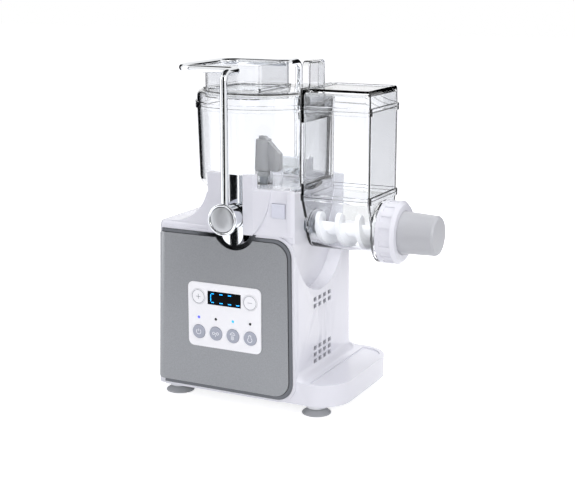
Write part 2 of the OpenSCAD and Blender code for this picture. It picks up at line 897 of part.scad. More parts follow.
// The white lip round the trim of the panel; the left edge has none
module panel_lip() {
    along_y(-body_front + lip_step, -shell_front + wall) difference() {
        polygon(front_pts(0));
        polygon(front_pts(border_w - seat_gap));
        translate([0, notch_z]) circle(r = notch_r);
        translate([left_wall(body_base) - cut, 0]) square([corner_front_left + cut, far]);
    }
}

module vent_grille(rows, z0) {
    for (row = [0 : rows - 1], i = [0 : vent_columns - 1])
        translate([body_right - 3 * wall, (i - vent_mid) * vent_pitch - vent_w / 2,
                z0 + row * vent_row])
            cube([6 * wall, vent_w, vent_h]);
}

module shell_solid() {
    body_block(0, body_base, body_top, shoulder_rise);
    along_z(body_base, tray_top) tray_outline(0);
    tray_blend();
    difference() {
        union() {
            along_z(body_top - 2 * wall, tower_top) tower_outline(0);
            intersection() {
                along_z(body_top - 2 * wall, horn_top) tower_outline(0);
                translate([column_in + cut, -far / 2, 0]) cube([far, far, far]);
            }
        }
        translate([-far / 2, -far, 0]) cube([far, far - shell_front, body_top]);
    }
    flank(0);
    columns();
    panel_lip();
}

// The hollow of the shell, which leaves its bosses and the wall of the saddle
module shell_hollow() {
    difference() {
        union() {
            body_block(wall, body_base - cut, body_top - wall, shoulder_rise);
            along_z(body_base - cut, tray_top - wall - dish_depth) tray_outline(wall);
            along_z(body_top - 3 * wall, tower_roof) tower_outline(wall);
            flank(wall);
        }
        saddle(wall, saddle_wall);
        recess(wall);
        rod_y(tower_half - wall, far, notch_r + wall, 0, notch_z);
        for (p = screw_places)
            rod_z(tray_floor + seat_gap, tray_floor + screw_l + wall, screw_boss_r, p[0], p[1]);
        mirrored_y() rod_y(-tower_half, -tower_half + pivot_boss_in, pivot_boss_r);
    }
}

module shell_openings() {
    release_half = release_w / 2 + move_gap;
    for (p = screw_places)
        rod_z(tray_floor - cut, tray_floor + screw_l, screw_r, p[0], p[1]);
    translate([-fascia_x - fascia_w / 2 + window_rim, -body_front,
            fascia_z - fascia_h / 2 + window_rim])
        cube([fascia_w - 2 * window_rim, body_front - board_face, fascia_h - 2 * window_rim]);
    translate([release_x - release_half, -tower_half - cut, release_z - release_half])
        cube([2 * release_half, tower_half + cut - release_back + release_travel + move_gap,
            2 * release_half]);
    rod_y(-tower_half, -tower_half + release_stem_in, release_stem_r + move_gap, release_stem_x,
        release_z);
    mirrored_y() rod_y(-column_face - cut, -tower_half + pivot_boss_in + cut, pin_r + run_gap);
    rod_y(body_back - 3 * wall, body_back + cut, gland_r + gland_wall + seat_gap, -gland_x,
        gland_z);
    vent_grille(vent_rows_high, vent_high);
    vent_grille(vent_rows_low, vent_low);
}

module main_housing() {
    color(WHITE) placed() difference() {
        shell_solid();
        shell_hollow();
        saddle(0, saddle_x);
        recess(0);
        rod_y(tower_half, far, notch_r, 0, notch_z);
        rod_z(tower_top, far, column_back, $fn = 96);
        rod_x(saddle_wall - cut, saddle_x + cut, coupling_r + 2 * move_gap);
        rod_z(tower_roof - cut, tower_top + cut, knead_r + run_gap + bush_t + seat_gap);
        shell_openings();
        along_z(tray_top - dish_depth, tray_top + cut)
            box_2d(dish_x, dish_end, -shell_front + dish_rim, tray_back - dish_rim,
                [dish_r, dish_corner, dish_corner, dish_r]);
    }
}

module base_plate() {
    inset = wall + 2 * seat_gap;
    r = corner_back - inset;
    color(WHITE) placed() difference() {
        union() {
            along_z(body_base, tray_floor) {
                box_2d(-body_left + inset, body_right - inset, -shell_front + inset,
                    body_back - inset, [inner_r - inset, edge_r, r, r]);
                tray_outline(inset);
            }
            for (p = foot_places)
                rod_z(foot_boss_z, body_base, foot_boss, p[0], p[1]);
            for (i = [0, 1], j = [0, 1])
                rod_z(tray_floor - eps, tray_floor + standoff_h, standoff_r,
                    power_x[i] + (1 - 2 * i) * standoff_in, power_y[j] + (1 - 2 * j) * standoff_in);
        }
        for (p = screw_places) {
            rod_z(body_base - cut, tray_floor + cut, screw_r + seat_gap, p[0], p[1]);
            rod_z(body_base - cut, body_base + screw_head_t + seat_gap, screw_head_r + seat_gap,
                p[0], p[1]);
        }
        for (p = foot_places)
            rod_z(foot_boss_z - cut, foot_boss_z + stud_h + seat_gap, stud_r + seat_gap,
                p[0], p[1]);
    }
}

module suction_feet() {
    color(DARK) placed()
        for (p = foot_places)
            translate([p[0], p[1], 0]) {
                rotate_extrude() polygon([[0, 0], [foot_r, 0], [foot_r, foot_edge],
                    [foot_r - foot_slope, foot_rim], [foot_neck, foot_boss_z], [0, foot_boss_z]]);
                rod_z(foot_boss_z - eps, foot_boss_z + stud_h, stud_r);
            }
}

module base_screws() {
    color(STEEL) placed()
        for (p = screw_places)
            difference() {
                union() {
                    rod_z(body_base, body_base + screw_head_t, screw_head_r, p[0], p[1]);
                    rod_z(body_base, tray_floor + screw_l - cut, screw_r - seat_gap, p[0], p[1]);
                }
                translate([p[0], p[1], body_base])
                    for (a = [0, 90])
                        rotate(a) cube(screw_slot, center = true);
            }
}

// Front
function left_wall(z) = -body_left + lean_left * (z - body_base) / (body_top - body_base);

function right_wall(z) = body_right - lean_right * (z - body_base) / (body_top - body_base);

// Outline of the front in X and Z: its left edge stays on the wall, the others move in
function front_pts(inset) = let (z0 = body_base + inset, z1 = body_top - inset,
        rl = panel_left_r, rr = panel_r - inset / 2)
    concat(arc_pts(left_wall(z0) + rl, z0 + rl, rl, 180, 270),
        arc_pts(right_wall(z0) - inset - rr, z0 + rr, rr, 270, 360),
        arc_pts(right_wall(z1) - inset - rr, z1 - rr, rr, 0, 90),
        arc_pts(left_wall(z1) + rl, z1 - rl, rl, 90, 180));

module fascia_outline(grow) {
    box_2d(-fascia_x - fascia_w / 2 - grow, -fascia_x + fascia_w / 2 + grow,
        fascia_z - fascia_h / 2 - grow, fascia_z + fascia_h / 2 + grow, even(fascia_r + grow));
}

module front_panel() {
    color(SILVER) placed() difference() {
        intersection() {
            difference() {
                along_y(-body_front, -body_front + corner_front_left)
                    polygon(front_pts(border_w + trim_w));
                translate([-body_left + corner_front_left + lean_left,
                        -shell_front - 2 * seat_gap, 0])
                    cube([far, far, far]);
            }
            leaning_block(-body_left, body_right, -body_front, body_back,
                [corner_front_left, edge_r, edge_r, edge_r], body_base, body_top);
        }
        body_block(-seat_gap, body_base, body_top);
        rod_y(-far, 0, notch_r, 0, notch_z);
        along_y(-body_front - cut, -shell_front + cut) fascia_outline(-window_rim);
    }
}

module panel_trim() {
    color(CHROME) placed()
        along_y(-body_front + trim_step, -shell_front) difference() {
            union() {
                difference() {
                    polygon(front_pts(border_w));
                    polygon(front_pts(border_w + trim_w - seat_gap));
                    translate([left_wall(body_base) - cut, 0])
                        square([corner_front_left + cut, far]);
                }
                intersection() {
                    translate([0, notch_z]) circle(r = notch_r - seat_gap);
                    polygon(front_pts(0));
                }
            }
            translate([0, notch_z]) circle(r = notch_r - notch_trim);
        }
}

module control_fascia() {
    color(WHITE) placed()
        along_y(-fascia_face, -body_front) difference() {
            fascia_outline(0);
            translate([-fascia_x - display_w / 2, display_z - display_h / 2])
                square([display_w, display_h]);
            for (x = button_x) {
                translate([x, button_z]) circle(r = button_r + move_gap);
                translate([x, lamp_z]) circle(r = lamp_r + seat_gap);
            }
            for (side = [-1, 1])
                translate([-fascia_x + side * key_reach, key_z]) circle(r = key_r + move_gap);
        }
}

module display_window() {
    color(BLACK) placed()
        along_y(-fascia_face + seat_gap, -board_face)
            translate([-fascia_x - display_w / 2 + seat_gap, display_z - display_h / 2 + seat_gap])
                square([display_w - 2 * seat_gap, display_h - 2 * seat_gap]);
}

module status_lamps() {
    color("#7fb4ff") placed()
        for (x = button_x)
            rod_y(-fascia_face - seat_gap, -board_face, lamp_r, x, lamp_z);
}

// A round cap with a flange that holds it behind the fascia; its stem ends above the board
module push_button(x, z, r, proud) {
    rod_y(-fascia_face - proud, -fascia_face - proud + key_head_t, r, x, z);
    rod_y(-body_front + move_gap, -body_front + key_flange_t, r + key_flange, x, z);
    rod_y(-fascia_face, -board_face - button_travel - move_gap, key_stem_r, x, z);
}

module plus_key() {
    color(WHITE) placed() push_button(-fascia_x - key_reach, key_z, key_r, button_proud / 2);
}

module minus_key() {
    color(WHITE) placed() push_button(-fascia_x + key_reach, key_z, key_r, button_proud / 2);
}

module power_button() {
    color(LILAC) placed() push_button(button_x[0], button_z, button_r, button_proud);
}

module knead_button() {
    color(LILAC) placed() push_button(button_x[1], button_z, button_r, button_proud);
}

module extrude_button() {
    color(LILAC) placed() push_button(button_x[2], button_z, button_r, button_proud);
}

module mode_button() {
    color(LILAC) placed() push_button(button_x[3], button_z, button_r, button_proud);
}

module control_board() {
    color(BOARD) placed()
        along_y(-board_face, -board_face + board_t) fascia_outline(board_rim - window_rim);
}

module release_button() {
    color(LILAC) placed()
        union() {
            translate([release_x - release_w / 2, -release_back - release_t,
                    release_z - release_w / 2])
                cube([release_w, release_t, release_w]);
            rod_y(-tower_half, -tower_half + release_stem_in, release_stem_r, release_stem_x,
                release_z);
        }
}

module interlock_switch() {
    color(BLACK) placed()
        translate([switch_x, -tower_half + wall, pivot_z - switch_size[2] / 2])
            cube(switch_size);
}

module power_board() {
    z = tray_floor + standoff_h;
    color(BOARD) placed() {
        translate([power_x[0], power_y[0], z])
            cube([power_x[1] - power_x[0], power_y[1] - power_y[0], board_t]);
        translate([power_x[0] + transformer_in[0], power_y[0] + transformer_in[1], z])
            cube(transformer_size);
        for (x = capacitor_x)
            rod_z(z, z + capacitor_h, capacitor_r, power_x[0] + x, power_y[0] + capacitor_y);
    }
}

module cord_gland() {
    r = gland_r + gland_wall;
    color(DARK) placed() difference() {
        union() {
            rod_y(body_back - wall - gland_lip, body_back + eps, r, -gland_x, gland_z);
            rod_y(body_back, body_back + gland_lip, r + gland_lip, -gland_x, gland_z);
        }
        rod_y(body_back - far, body_back + far, gland_r, -gland_x, gland_z);
    }
}

// Drive
module drive_motor() {
    color(STEEL) placed() difference() {
        union() {
            rod_x(motor_x0 + can_end_l, motor_x1 - can_end_l, motor_r, motor_z);
            rod_x(motor_x0, motor_x1, motor_r - can_end_step, motor_z);
        }
        rod_x(motor_x0 - cut, motor_x1 + cut, motor_shaft_r + run_gap, motor_z);
    }
}

module motor_bracket() {
    x = motor_x0 + bracket_in;
    color(STEEL) placed() difference() {
        translate([x, -bracket_half, tray_floor])
            cube([bracket_w, 2 * bracket_half, motor_z - bracket_drop - tray_floor]);
        rod_x(x - cut, x + bracket_w + cut, motor_r + seat_gap, motor_z);
    }
}

module motor_shaft() {
    color(STEEL) placed() rod_x(fan_x, plate_out - move_gap, motor_shaft_r, motor_z);
}

module motor_pinion() {
    color(BRASS) placed()
        spur_gear(first_x, first_w, motor_z, pinion_teeth, first_mod, 180 / pinion_teeth,
            motor_shaft_r);
}

module cooling_fan() {
    color(DARK) placed() difference() {
        union() {
            rod_x(fan_x, fan_x + fan_w, fan_hub_r, motor_z);
            translate([fan_x, 0, motor_z])
                for (k = [0 : fan_blades - 1])
                    rotate([360 * k / fan_blades, 0, 0]) translate([0, -cut, 0])
                        rotate([0, 0, -fan_twist]) cube([fan_w - cut, fan_blade_t, fan_r]);
        }
        rod_x(fan_x - cut, fan_x + fan_w + cut, motor_shaft_r + seat_gap / 2, motor_z);
    }
}

module counter_shaft() {
    color(STEEL) placed() rod_x(plate_in + move_gap, gap_end, counter_r, counter_z);
}

module counter_gear() {
    color(BRASS) placed()
        spur_gear(first_x, first_w, counter_z, first_teeth, first_mod, 0, counter_r);
}

module counter_pinion() {
    color(STEEL) placed()
        spur_gear(gear_x, gear_w, counter_z, pinion_teeth, final_mod, 180 / pinion_teeth,
            counter_r);
}

module bush_holes(x) {
    for (s = [[shaft_r, axis_z], [counter_r, counter_z]])
        rod_x(x - cut, x + plate_t + cut, s[0] + run_gap + bush_t + seat_gap, s[1]);
}

module gearbox_plate(x) {
    difference() {
        along_x(x, x + plate_t)
            box_2d(-plate_half, plate_half, tray_floor, plate_high,
                [plate_foot_r, plate_foot_r, plate_top_r, plate_top_r]);
        bush_holes(x);
        rod_x(x - cut, x + plate_t + cut, motor_shaft_r + shaft_hole_gap, motor_z);
    }
}

module gearbox_inner_plate() {
    color(STEEL) placed() gearbox_plate(plate_in);
}

module gearbox_outer_plate() {
    color(STEEL) placed() gearbox_plate(plate_out);
}

module gearbox_spacers() {
    color(STEEL) placed()
        for (y = [-spacer_y, spacer_y], z = [spacer_low, spacer_low + spacer_rise])
            translate([0, y, 0]) rod_x(plate_in + plate_t, plate_out, spacer_r, z);
}

module bearing_bushes() {
    color(BRASS) placed()
        for (x = [plate_in, plate_out], s = [[shaft_r, axis_z], [counter_r, counter_z]])
            difference() {
                rod_x(x, x + plate_t, s[0] + run_gap + bush_t, s[1]);
                rod_x(x - cut, x + plate_t + cut, s[0] + run_gap, s[1]);
            }
}

module drive_shaft() {
    color(STEEL) placed() rod_x(shaft_in, gap_end + coupling_shaft, shaft_r);
}

module drive_gear() {
    color(STEEL) placed() spur_gear(gear_x, gear_w, axis_z, final_teeth, final_mod, 0, shaft_r);
}

module drive_bevel() {
    color(STEEL) placed()
        translate([bevel_r, 0, axis_z]) rotate([0, -90, 0]) bevel_gear(0, shaft_r);
}

module drive_coupling() {
    color(STEEL) placed() difference() {
        rod_x(gap_end, coupling_end, coupling_r);
        rod_x(gap_end - cut, gap_end + coupling_shaft + seat_gap, shaft_r + seat_gap / 2);
        translate([0, 0, axis_z])
            along_x(gap_end + coupling_shaft, coupling_end + cut)
                circle(r = hex_r + seat_gap, $fn = 6);
    }
}

module knead_bush() {
    r = knead_r + run_gap + bush_t;
    color(BRASS) placed() difference() {
        union() {
            rod_z(tower_roof - eps, tower_top, r);
            rod_z(tower_roof - bush_flange_t, tower_roof, r + bush_flange_out);
        }
        rod_z(tower_roof - far, far, knead_r + run_gap);
    }
}

module knead_shaft() {
    color(STEEL) placed() rod_z(knead_low, knead_high, knead_r);
}

module knead_bevel() {
    color(STEEL) placed()
        translate([0, 0, axis_z + bevel_r]) rotate([180, 0, 0])
            bevel_gear(180 / bevel_teeth, knead_r);
}

// Bowl
// Outline of the round bowl, shrunk by the inset, for turning about the paddle axis
function bowl_pts(inset) = concat([[0, bowl_base + inset]],
    arc_pts(bowl_low_r - bowl_fillet, bowl_base + bowl_fillet, bowl_fillet - inset, -90, 0),
    [[bowl_r - inset, bowl_rim - rim_h], [bowl_r - inset, bowl_rim + inset], [0, bowl_rim + inset]]);

module passage(x0, x1) {
    translate([x0, -window_half, window_base])
        cube([x1 - x0, 2 * window_half, window_top - window_base]);
}

module kneading_bowl() {
    color(CLEAR) placed() difference() {
        union() {
            intersection() {
                difference() {
                    union() {
                        rotate_extrude($fn = 96) polygon(bowl_pts(0));
                        rod_z(bowl_rim - rim_h, bowl_rim, bowl_r + rim_out, $fn = 96);
                    }
                    intersection() {
                        rotate_extrude($fn = 96) polygon(bowl_pts(clear_t));
                        left_of(bowl_flat - clear_t);
                    }
                }
                left_of(bowl_flat);
            }
            rod_z(bowl_base + clear_t - eps, boss_top, boss_r);
        }
        rod_z(bowl_base - cut, boss_top + cut, boss_r - clear_t);
        passage(bowl_flat - 3 * clear_t, bowl_flat + cut);
    }
}

module bowl_seal() {
    color(DARK) placed() difference() {
        rod_z(boss_top - seal_h, boss_top, boss_r - clear_t - seat_gap / 2);
        rod_z(boss_top - seal_h - cut, boss_top + cut, knead_r + run_gap);
    }
}

function lid_pts(inset) = let (r = lid_h / 2, low = lid_base - (inset > 0 ? cut : 0))
    concat([[0, low], [bowl_r - inset, low]],
        arc_pts(bowl_r - r, lid_top - r, r - inset, 0, 90), [[0, lid_top - inset]]);

// The bay in the lid's flat side that the shutter's handle rises through
module grip_bay(grow) {
    translate([shutter_end - grip_t - grow, -grip_w - grow, lid_base - 2 * cut])
        cube([far, 2 * (grip_w + grow), far]);
}

module bowl_lid() {
    color(CLEAR) placed() difference() {
        intersection() {
            difference() {
                union() {
                    rotate_extrude($fn = 96) polygon(lid_pts(0));
                    rod_z(lid_base, lid_base + rim_h, bowl_r + rim_out, $fn = 96);
                }
                difference() {
                    intersection() {
                        rotate_extrude($fn = 96) polygon(lid_pts(clear_t));
                        left_of(bowl_flat - clear_t);
                    }
                    grip_bay(move_gap + clear_t);
                }
            }
            left_of(bowl_flat);
        }
        grip_bay(move_gap);
        along_z(bowl_rim, lid_top + cut) cup_outline(move_gap);
    }
}

module cup_outline(grow) {
    box_2d(-cup_left - grow, cup_right + grow, -cup_half - grow, cup_half + grow,
        even(cup_r + grow));
}

module filler_cup() {
    color(CLEAR) placed() difference() {
        union() {
            along_z(cup_floor, cup_top) cup_outline(0);
            along_z(lid_top + move_gap, lid_top + move_gap + cup_t) cup_outline(cup_lip);
        }
        along_z(cup_floor + cup_t, cup_top + cut) cup_outline(-cup_t);
        for (i = [0 : cup_slots - 1])
            translate([-cup_left + cup_slot_x + i * cup_slot_pitch, -cup_half + cup_slot_end,
                    cup_floor - cut])
                cube([cup_slot_w, 2 * (cup_half - cup_slot_end), cup_t + 2 * cut]);
    }
}

module kneading_paddle() {
    color(GREY) placed() difference() {
        union() {
            translate([0, 0, paddle_base]) cylinder(h = paddle_h - paddle_cap, r1 = paddle_r,
                r2 = paddle_r - paddle_taper);
            rotate(fin_turn) along_y(-fin_t / 2, fin_t / 2)
                polygon([[-fin_back[0], paddle_base + paddle_h / 2], [-fin_back[1], paddle_top],
                    [fin_crest, paddle_top], [fin_reach, paddle_base + fin_tip_h + fin_drop],
                    [fin_reach, paddle_base + fin_round], [fin_reach - fin_round, paddle_base],
                    [0, paddle_base]]);
        }
        rod_z(paddle_base - cut, knead_high + seat_gap, knead_r + seat_gap / 2);
    }
}

// Shutter and chamber
// The handle fills the lid's bay, and the hollow above the lid takes a finger
module transfer_shutter() {
    x = shutter_end - grip_t;
    color(CLEAR) placed() difference() {
        union() {
            translate([shutter_x, -shutter_half, shutter_base])
                cube([shutter_t, 2 * shutter_half, chamber_lid_top - shutter_base]);
            along_x(x, shutter_end)
                box_2d(-grip_w, grip_w, lid_base, chamber_lid_top + grip_h,
                    [edge_r, edge_r, grip_round, grip_round]);
        }
        along_x(x - cut, shutter_end - clear_t)
            box_2d(-grip_w + clear_t, grip_w - clear_t, grip_pocket,
                chamber_lid_top + grip_h - clear_t,
                [edge_r, edge_r, grip_round - clear_t, grip_round - clear_t]);
    }
}

module chamber_outline(grow) {
    left = grow > 0 ? 0 : grow;
    r = chamber_r + grow;
    box_2d(chamber_left - left, chamber_right + grow, -chamber_half - grow, chamber_half + grow,
        [edge_r, r, r, edge_r]);
}

module chamber_box() {
    color(CLEAR) placed() difference() {
        union() {
            along_z(seam_z, chamber_rim) chamber_outline(0);
            along_z(seam_z, seam_z + rim_h) chamber_outline(rim_out);
            along_z(chamber_rim - rim_h, chamber_rim) chamber_outline(rim_out);
        }
        along_z(seam_z - cut, chamber_rim + cut) chamber_outline(-clear_t);
        passage(chamber_left - cut, chamber_left + 3 * clear_t);
    }
}

// The hopper narrows from the chamber's outline to the round trough
module hopper(inset) {
    hull() {
        along_z(seam_z - rim_h, seam_z - rim_h + (inset > 0 ? rim_h + cut : eps))
            chamber_outline(-inset - eps);
        rod_x(chamber_left + inset, chamber_right - inset, trough_r - inset, $fn = hull_fn);
    }
}

module chamber_trough() {
    color(CLEAR) placed() difference() {
        union() {
            hopper(0);
            along_z(seam_z - rim_h, seam_z) chamber_outline(rim_out);
            rod_x(trough_left, chamber_right, trough_r);
            rod_x(chamber_right - eps, flange_end, flange_r);
            rod_x(flange_end - eps, collar_end, collar_r);
        }
        hopper(clear_t);
        rod_x(trough_left + clear_t, collar_end + cut, trough_in);
        rod_x(trough_left - cut, trough_left + clear_t + cut, hex_r + move_gap);
    }
}

module chamber_lid() {
    low = chamber_rim + move_gap;
    color(CLEAR) placed() difference() {
        union() {
            along_z(low, chamber_lid_top - chamber_lid_edge) chamber_outline(0);
            along_z(chamber_rim + cut, chamber_lid_top) chamber_outline(-chamber_lid_bevel);
            along_z(low, low + rim_h) chamber_outline(rim_out);
        }
        along_z(chamber_rim - cut, chamber_lid_top - clear_t - chamber_lid_sink)
            chamber_outline(-clear_t);
        along_z(chamber_lid_top - chamber_lid_sink, chamber_lid_top + cut)
            chamber_outline(-chamber_lid_border);
    }
}

module auger() {
    length = auger_x1 - auger_x0;
    lead = 360 * flight_t / auger_pitch;
    color(WHITE) placed() {
        rod_x(auger_x0 + eps, auger_x1, core_r);
        translate([auger_x0, 0, axis_z]) rotate([90, 0, 90])
            linear_extrude(length, twist = -360 * length / auger_pitch, slices = auger_slices)
                polygon(concat([[0, 0]], arc_pts(0, 0, flight_r, 0, lead)));
        translate([0, 0, axis_z])
            along_x(gap_end + coupling_shaft + move_gap, auger_x0 + cut)
                circle(r = hex_r, $fn = 6);
    }
}

// Outlet
module outlet_seal() {
    color(DARK) placed() difference() {
        rod_x(seal_x, seal_x + seal_t, collar_r);
        rod_x(seal_x - cut, seal_x + seal_t + cut, trough_in);
    }
}

module shaping_nozzle() {
    hollow_r = nozzle_end_r - nozzle_t;
    cone_end = nozzle_end - nozzle_round_l;
    half_rows = (die_rows - 1) / 2;
    color(WHITE) placed() difference() {
        union() {
            rod_x(die_x, die_x + die_flange_t, collar_r);
            rod_x(die_x, nut_end, nozzle_r);
            cone_x(nut_end - eps, cone_end, nozzle_r, nozzle_end_r);
            cone_x(cone_end - eps, nozzle_end, nozzle_end_r, nozzle_end_r - nozzle_round);
        }
        rod_x(die_x - cut, nozzle_end - nozzle_t, hollow_r);
        translate([nut_end + die_slot_in, -nozzle_r, axis_z - 2 * die_flat])
            cube([nozzle_l - 2 * die_slot_in, 2 * nozzle_r, die_flat]);
        for (i = [0 : die_columns - 1], j = [-half_rows : half_rows])
            rod_z(axis_z - nozzle_r, axis_z, die_r, nut_end + die_in + i * die_pitch,
                j * die_pitch);
    }
}

module ring_nut() {
    color(WHITE) placed() difference() {
        union() {
            rod_x(nut_x, nut_end - nut_edge, nut_r);
            cone_x(nut_end - nut_edge - eps, nut_end, nut_r, nut_r - nut_edge);
        }
        rod_x(nut_x - cut, nut_end - nut_front_t, nut_inner);
        rod_x(nut_x - cut, nut_end + cut, nozzle_r + move_gap);
        for (k = [0 : nut_ribs - 1])
            translate([nut_x + pocket_in, 0, axis_z]) rotate([360 * (k + 0.5) / nut_ribs, 0, 0])
                translate([0, -pocket_w / 2, nut_r - pocket_t])
                    cube([nut_l - 2 * pocket_in, pocket_w, 3 * pocket_t]);
    }
}

// Bail
// A quarter bend of the wire in the XY plane, from +X round to +Y about its centre
module wire_bend(r) {
    rotate_extrude(angle = 90) translate([r, 0]) circle(r = wire_r);
}

module half_bail() {
    rod_z(pivot_z + pin_r + leg_start, bail_top - bend_r, wire_r, 0, -bail_half);
    translate([0, -bail_half + bend_r, bail_top - bend_r])
        rotate([0, -90, 0]) rotate([0, 0, -90]) wire_bend(bend_r);
    rod_y(-bail_half + bend_r, -grip_half - bend_r, wire_r, 0, bail_top);
    translate([-bend_r, -grip_half - bend_r, bail_top]) wire_bend(bend_r);
    rod_x_at(-grip_reach + grip_r, -bend_r, -grip_half);
    translate([-grip_reach + grip_r, -grip_half + grip_r, bail_top])
        rotate(180) wire_bend(grip_r);
    rod_y(-hub_end, -column_face - move_gap, hub_r);
}

module rod_x_at(x0, x1, y) {
    translate([0, y, 0]) rod_x(x0, x1, wire_r, bail_top);
}

module bail_handle() {
    color(CHROME) placed() difference() {
        union() {
            mirrored_y() half_bail();
            rod_y(-grip_half + grip_r, grip_half - grip_r, wire_r, -grip_reach, bail_top);
        }
        mirrored_y() rod_y(-far / 2, -column_face + cut, pin_r + seat_gap / 2);
    }
}

// The cap carries the pin that turns in the tower's boss
module bail_cap() {
    outer = bail_half + wire_r + cap_t;
    difference() {
        union() {
            rod_y(-outer, -hub_end - seat_gap / 2, cap_r);
            rod_y(-outer + cap_core, -tower_half + pivot_boss_in, pin_r);
        }
        rod_y(-outer - cut, -outer + cap_dish, cap_r - cap_rim);
    }
}

module bail_cap_front() {
    color(CHROME) placed() bail_cap();
}

module bail_cap_rear() {
    color(CHROME) placed() mirror([0, 1, 0]) bail_cap();
}

// The bright strip behind a leg: a thick foot on the tower, a thin plate above its floor
module guide_strip(low_pts) {
    along_x(-guide_half, guide_half)
        polygon(concat(low_pts, [[-tower_half, shoulder_z], [-tower_half, tower_top - guide_short],
            [-guide_face + guide_t, tower_top - guide_short],
            [-guide_face + guide_t, column_top - guide_short],
            [-guide_face, column_top - guide_short]]));
}

module bail_guide_front() {
    low = notch_z - notch_r + notch_trim;
    color(CHROME) placed() difference() {
        intersection() {
            guide_strip([[-guide_face, low], [-shell_front, low], [-shell_front, body_top],
                [-guide_foot, body_top], [-guide_foot, shoulder_z]]);
            along_y(-far, 0) {
                translate([0, low + guide_half]) circle(r = guide_half);
                translate([-guide_half, low + guide_half]) square([2 * guide_half, far]);
            }
        }
        rod_y(-far, 0, pin_r + move_gap);
    }
}

module bail_guide_rear() {
    color(CHROME) placed() mirror([0, 1, 0]) difference() {
        guide_strip([[-guide_face, body_top], [-tower_half, body_top]]);
        rod_y(-far, 0, pin_r + move_gap);
    }
}

main_housing();
base_plate();
front_panel();
panel_trim();
control_fascia();
display_window();
status_lamps();
plus_key();
minus_key();
power_button();
knead_button();
extrude_button();
mode_button();
control_board();
power_board();
drive_motor();
motor_bracket();
motor_shaft();
motor_pinion();
cooling_fan();
counter_shaft();
counter_gear();
counter_pinion();
gearbox_inner_plate();
gearbox_outer_plate();
gearbox_spacers();
bearing_bushes();
drive_shaft();
drive_gear();
drive_bevel();
drive_coupling();
knead_bush();
knead_shaft();
knead_bevel();
kneading_bowl();
bowl_seal();
bowl_lid();
filler_cup();
kneading_paddle();
transfer_shutter();
chamber_box();
chamber_trough();
chamber_lid();
auger();
outlet_seal();
shaping_nozzle();
ring_nut();
bail_handle();
bail_cap_front();
bail_cap_rear();
bail_guide_front();
bail_guide_rear();
release_button();
interlock_switch();
suction_feet();
base_screws();
cord_gland();
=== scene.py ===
"""Electric pasta maker: the detailed model and its stage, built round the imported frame.

Lengths below are millimetres in the maker's own datum: x = 0 is the paddle axis, y = 0 the
extrusion axis and z = 0 the table. DATUM turns them into the frame's metres.
"""

import json
from math import acos, cos, degrees, pi, radians, sin

import bmesh
import bpy
from bpy.props import FloatProperty, FloatVectorProperty, PointerProperty
from mathutils import Matrix, Vector


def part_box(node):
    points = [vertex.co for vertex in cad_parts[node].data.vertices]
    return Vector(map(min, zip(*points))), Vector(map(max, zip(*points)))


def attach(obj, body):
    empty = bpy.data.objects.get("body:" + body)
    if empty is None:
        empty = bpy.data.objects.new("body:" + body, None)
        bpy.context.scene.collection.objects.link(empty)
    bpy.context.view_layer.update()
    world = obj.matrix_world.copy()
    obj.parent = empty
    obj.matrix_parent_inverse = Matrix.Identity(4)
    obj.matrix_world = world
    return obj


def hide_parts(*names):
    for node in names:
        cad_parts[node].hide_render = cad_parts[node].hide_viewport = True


bl_info = {
    "name": "Electric Pasta Maker",
    "version": (1, 0, 0),
    "blender": (4, 5, 0),
    "location": "3D View > Sidebar > Pasta Maker",
    "description": "Builds an electric pasta maker with its clear bowls, bail and stage",
    "category": "Object",
}

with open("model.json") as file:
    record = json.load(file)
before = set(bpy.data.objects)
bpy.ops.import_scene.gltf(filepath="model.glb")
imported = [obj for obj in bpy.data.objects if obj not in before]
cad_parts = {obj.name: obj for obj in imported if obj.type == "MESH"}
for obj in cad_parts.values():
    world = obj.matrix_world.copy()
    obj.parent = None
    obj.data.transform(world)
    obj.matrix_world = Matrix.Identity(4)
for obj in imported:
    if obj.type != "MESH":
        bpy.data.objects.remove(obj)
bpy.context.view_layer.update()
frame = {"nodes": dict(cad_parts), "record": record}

MM = 0.001
# The frame's own origin in the datum: its base is centred under the whole object
ORIGIN = Vector((44.45, 3.0, 0.0))
DATUM = Matrix.Scale(MM, 4) @ Matrix.Translation(-ORIGIN)
SMOOTH_ANGLE, BEVEL_ANGLE, FLAT_ANGLE = radians(32), radians(38), radians(0.6)
# Points this close are one, in millimetres: in the frame's meshes and in the pieces made here
FRAME_WELD, WELD = 0.002, 1e-4
# A wave texture of scale 1 repeats at this distance
WAVE_PERIOD = 0.314


def linear(code):
    """A hex sRGB colour as linear red, green, blue and alpha."""
    parts = [int(code[i : i + 2], 16) / 255 for i in (1, 3, 5)]
    return [c / 12.92 if c <= 0.04045 else ((c + 0.055) / 1.055) ** 2.4 for c in parts] + [1.0]


def colour(name, description, code):
    """A colour setting whose default is a hex sRGB value."""
    return FloatVectorProperty(name=name, description=description, default=linear(code),
                               size=4, min=0, max=1, subtype="COLOR")


def length(name, description, millimetres):
    """A length setting whose default is given in millimetres."""
    return FloatProperty(name=name, description=description, default=millimetres * MM,
                         min=0, unit="LENGTH")


class PastaMakerColours(bpy.types.PropertyGroup):
    """The colours of the mouldings, the panel and the display."""

    shell: colour("Shell", "Glossy mouldings of the housing and the ring nut", "#e3e3e9")
    satin: colour("Satin mouldings", "Base plate and auger", "#eeeff2")
    panel: colour("Panel", "Silver lacquer of the front panel", "#8d8f92")
    plate: colour("Chrome", "Bail, cap rings and guide strips", "#e9ebee")
    keys: colour("Keys", "Grey-lilac keys on the control plate", "#a9adba")
    paddle: colour("Paddle", "Kneading paddle", "#8c8d90")
    clear: colour("Clear walls", "Bowl, chamber, trough and their lids", "#f8f9fa")
    display: colour("Display", "Lit strokes of the display", "#19a7ff")


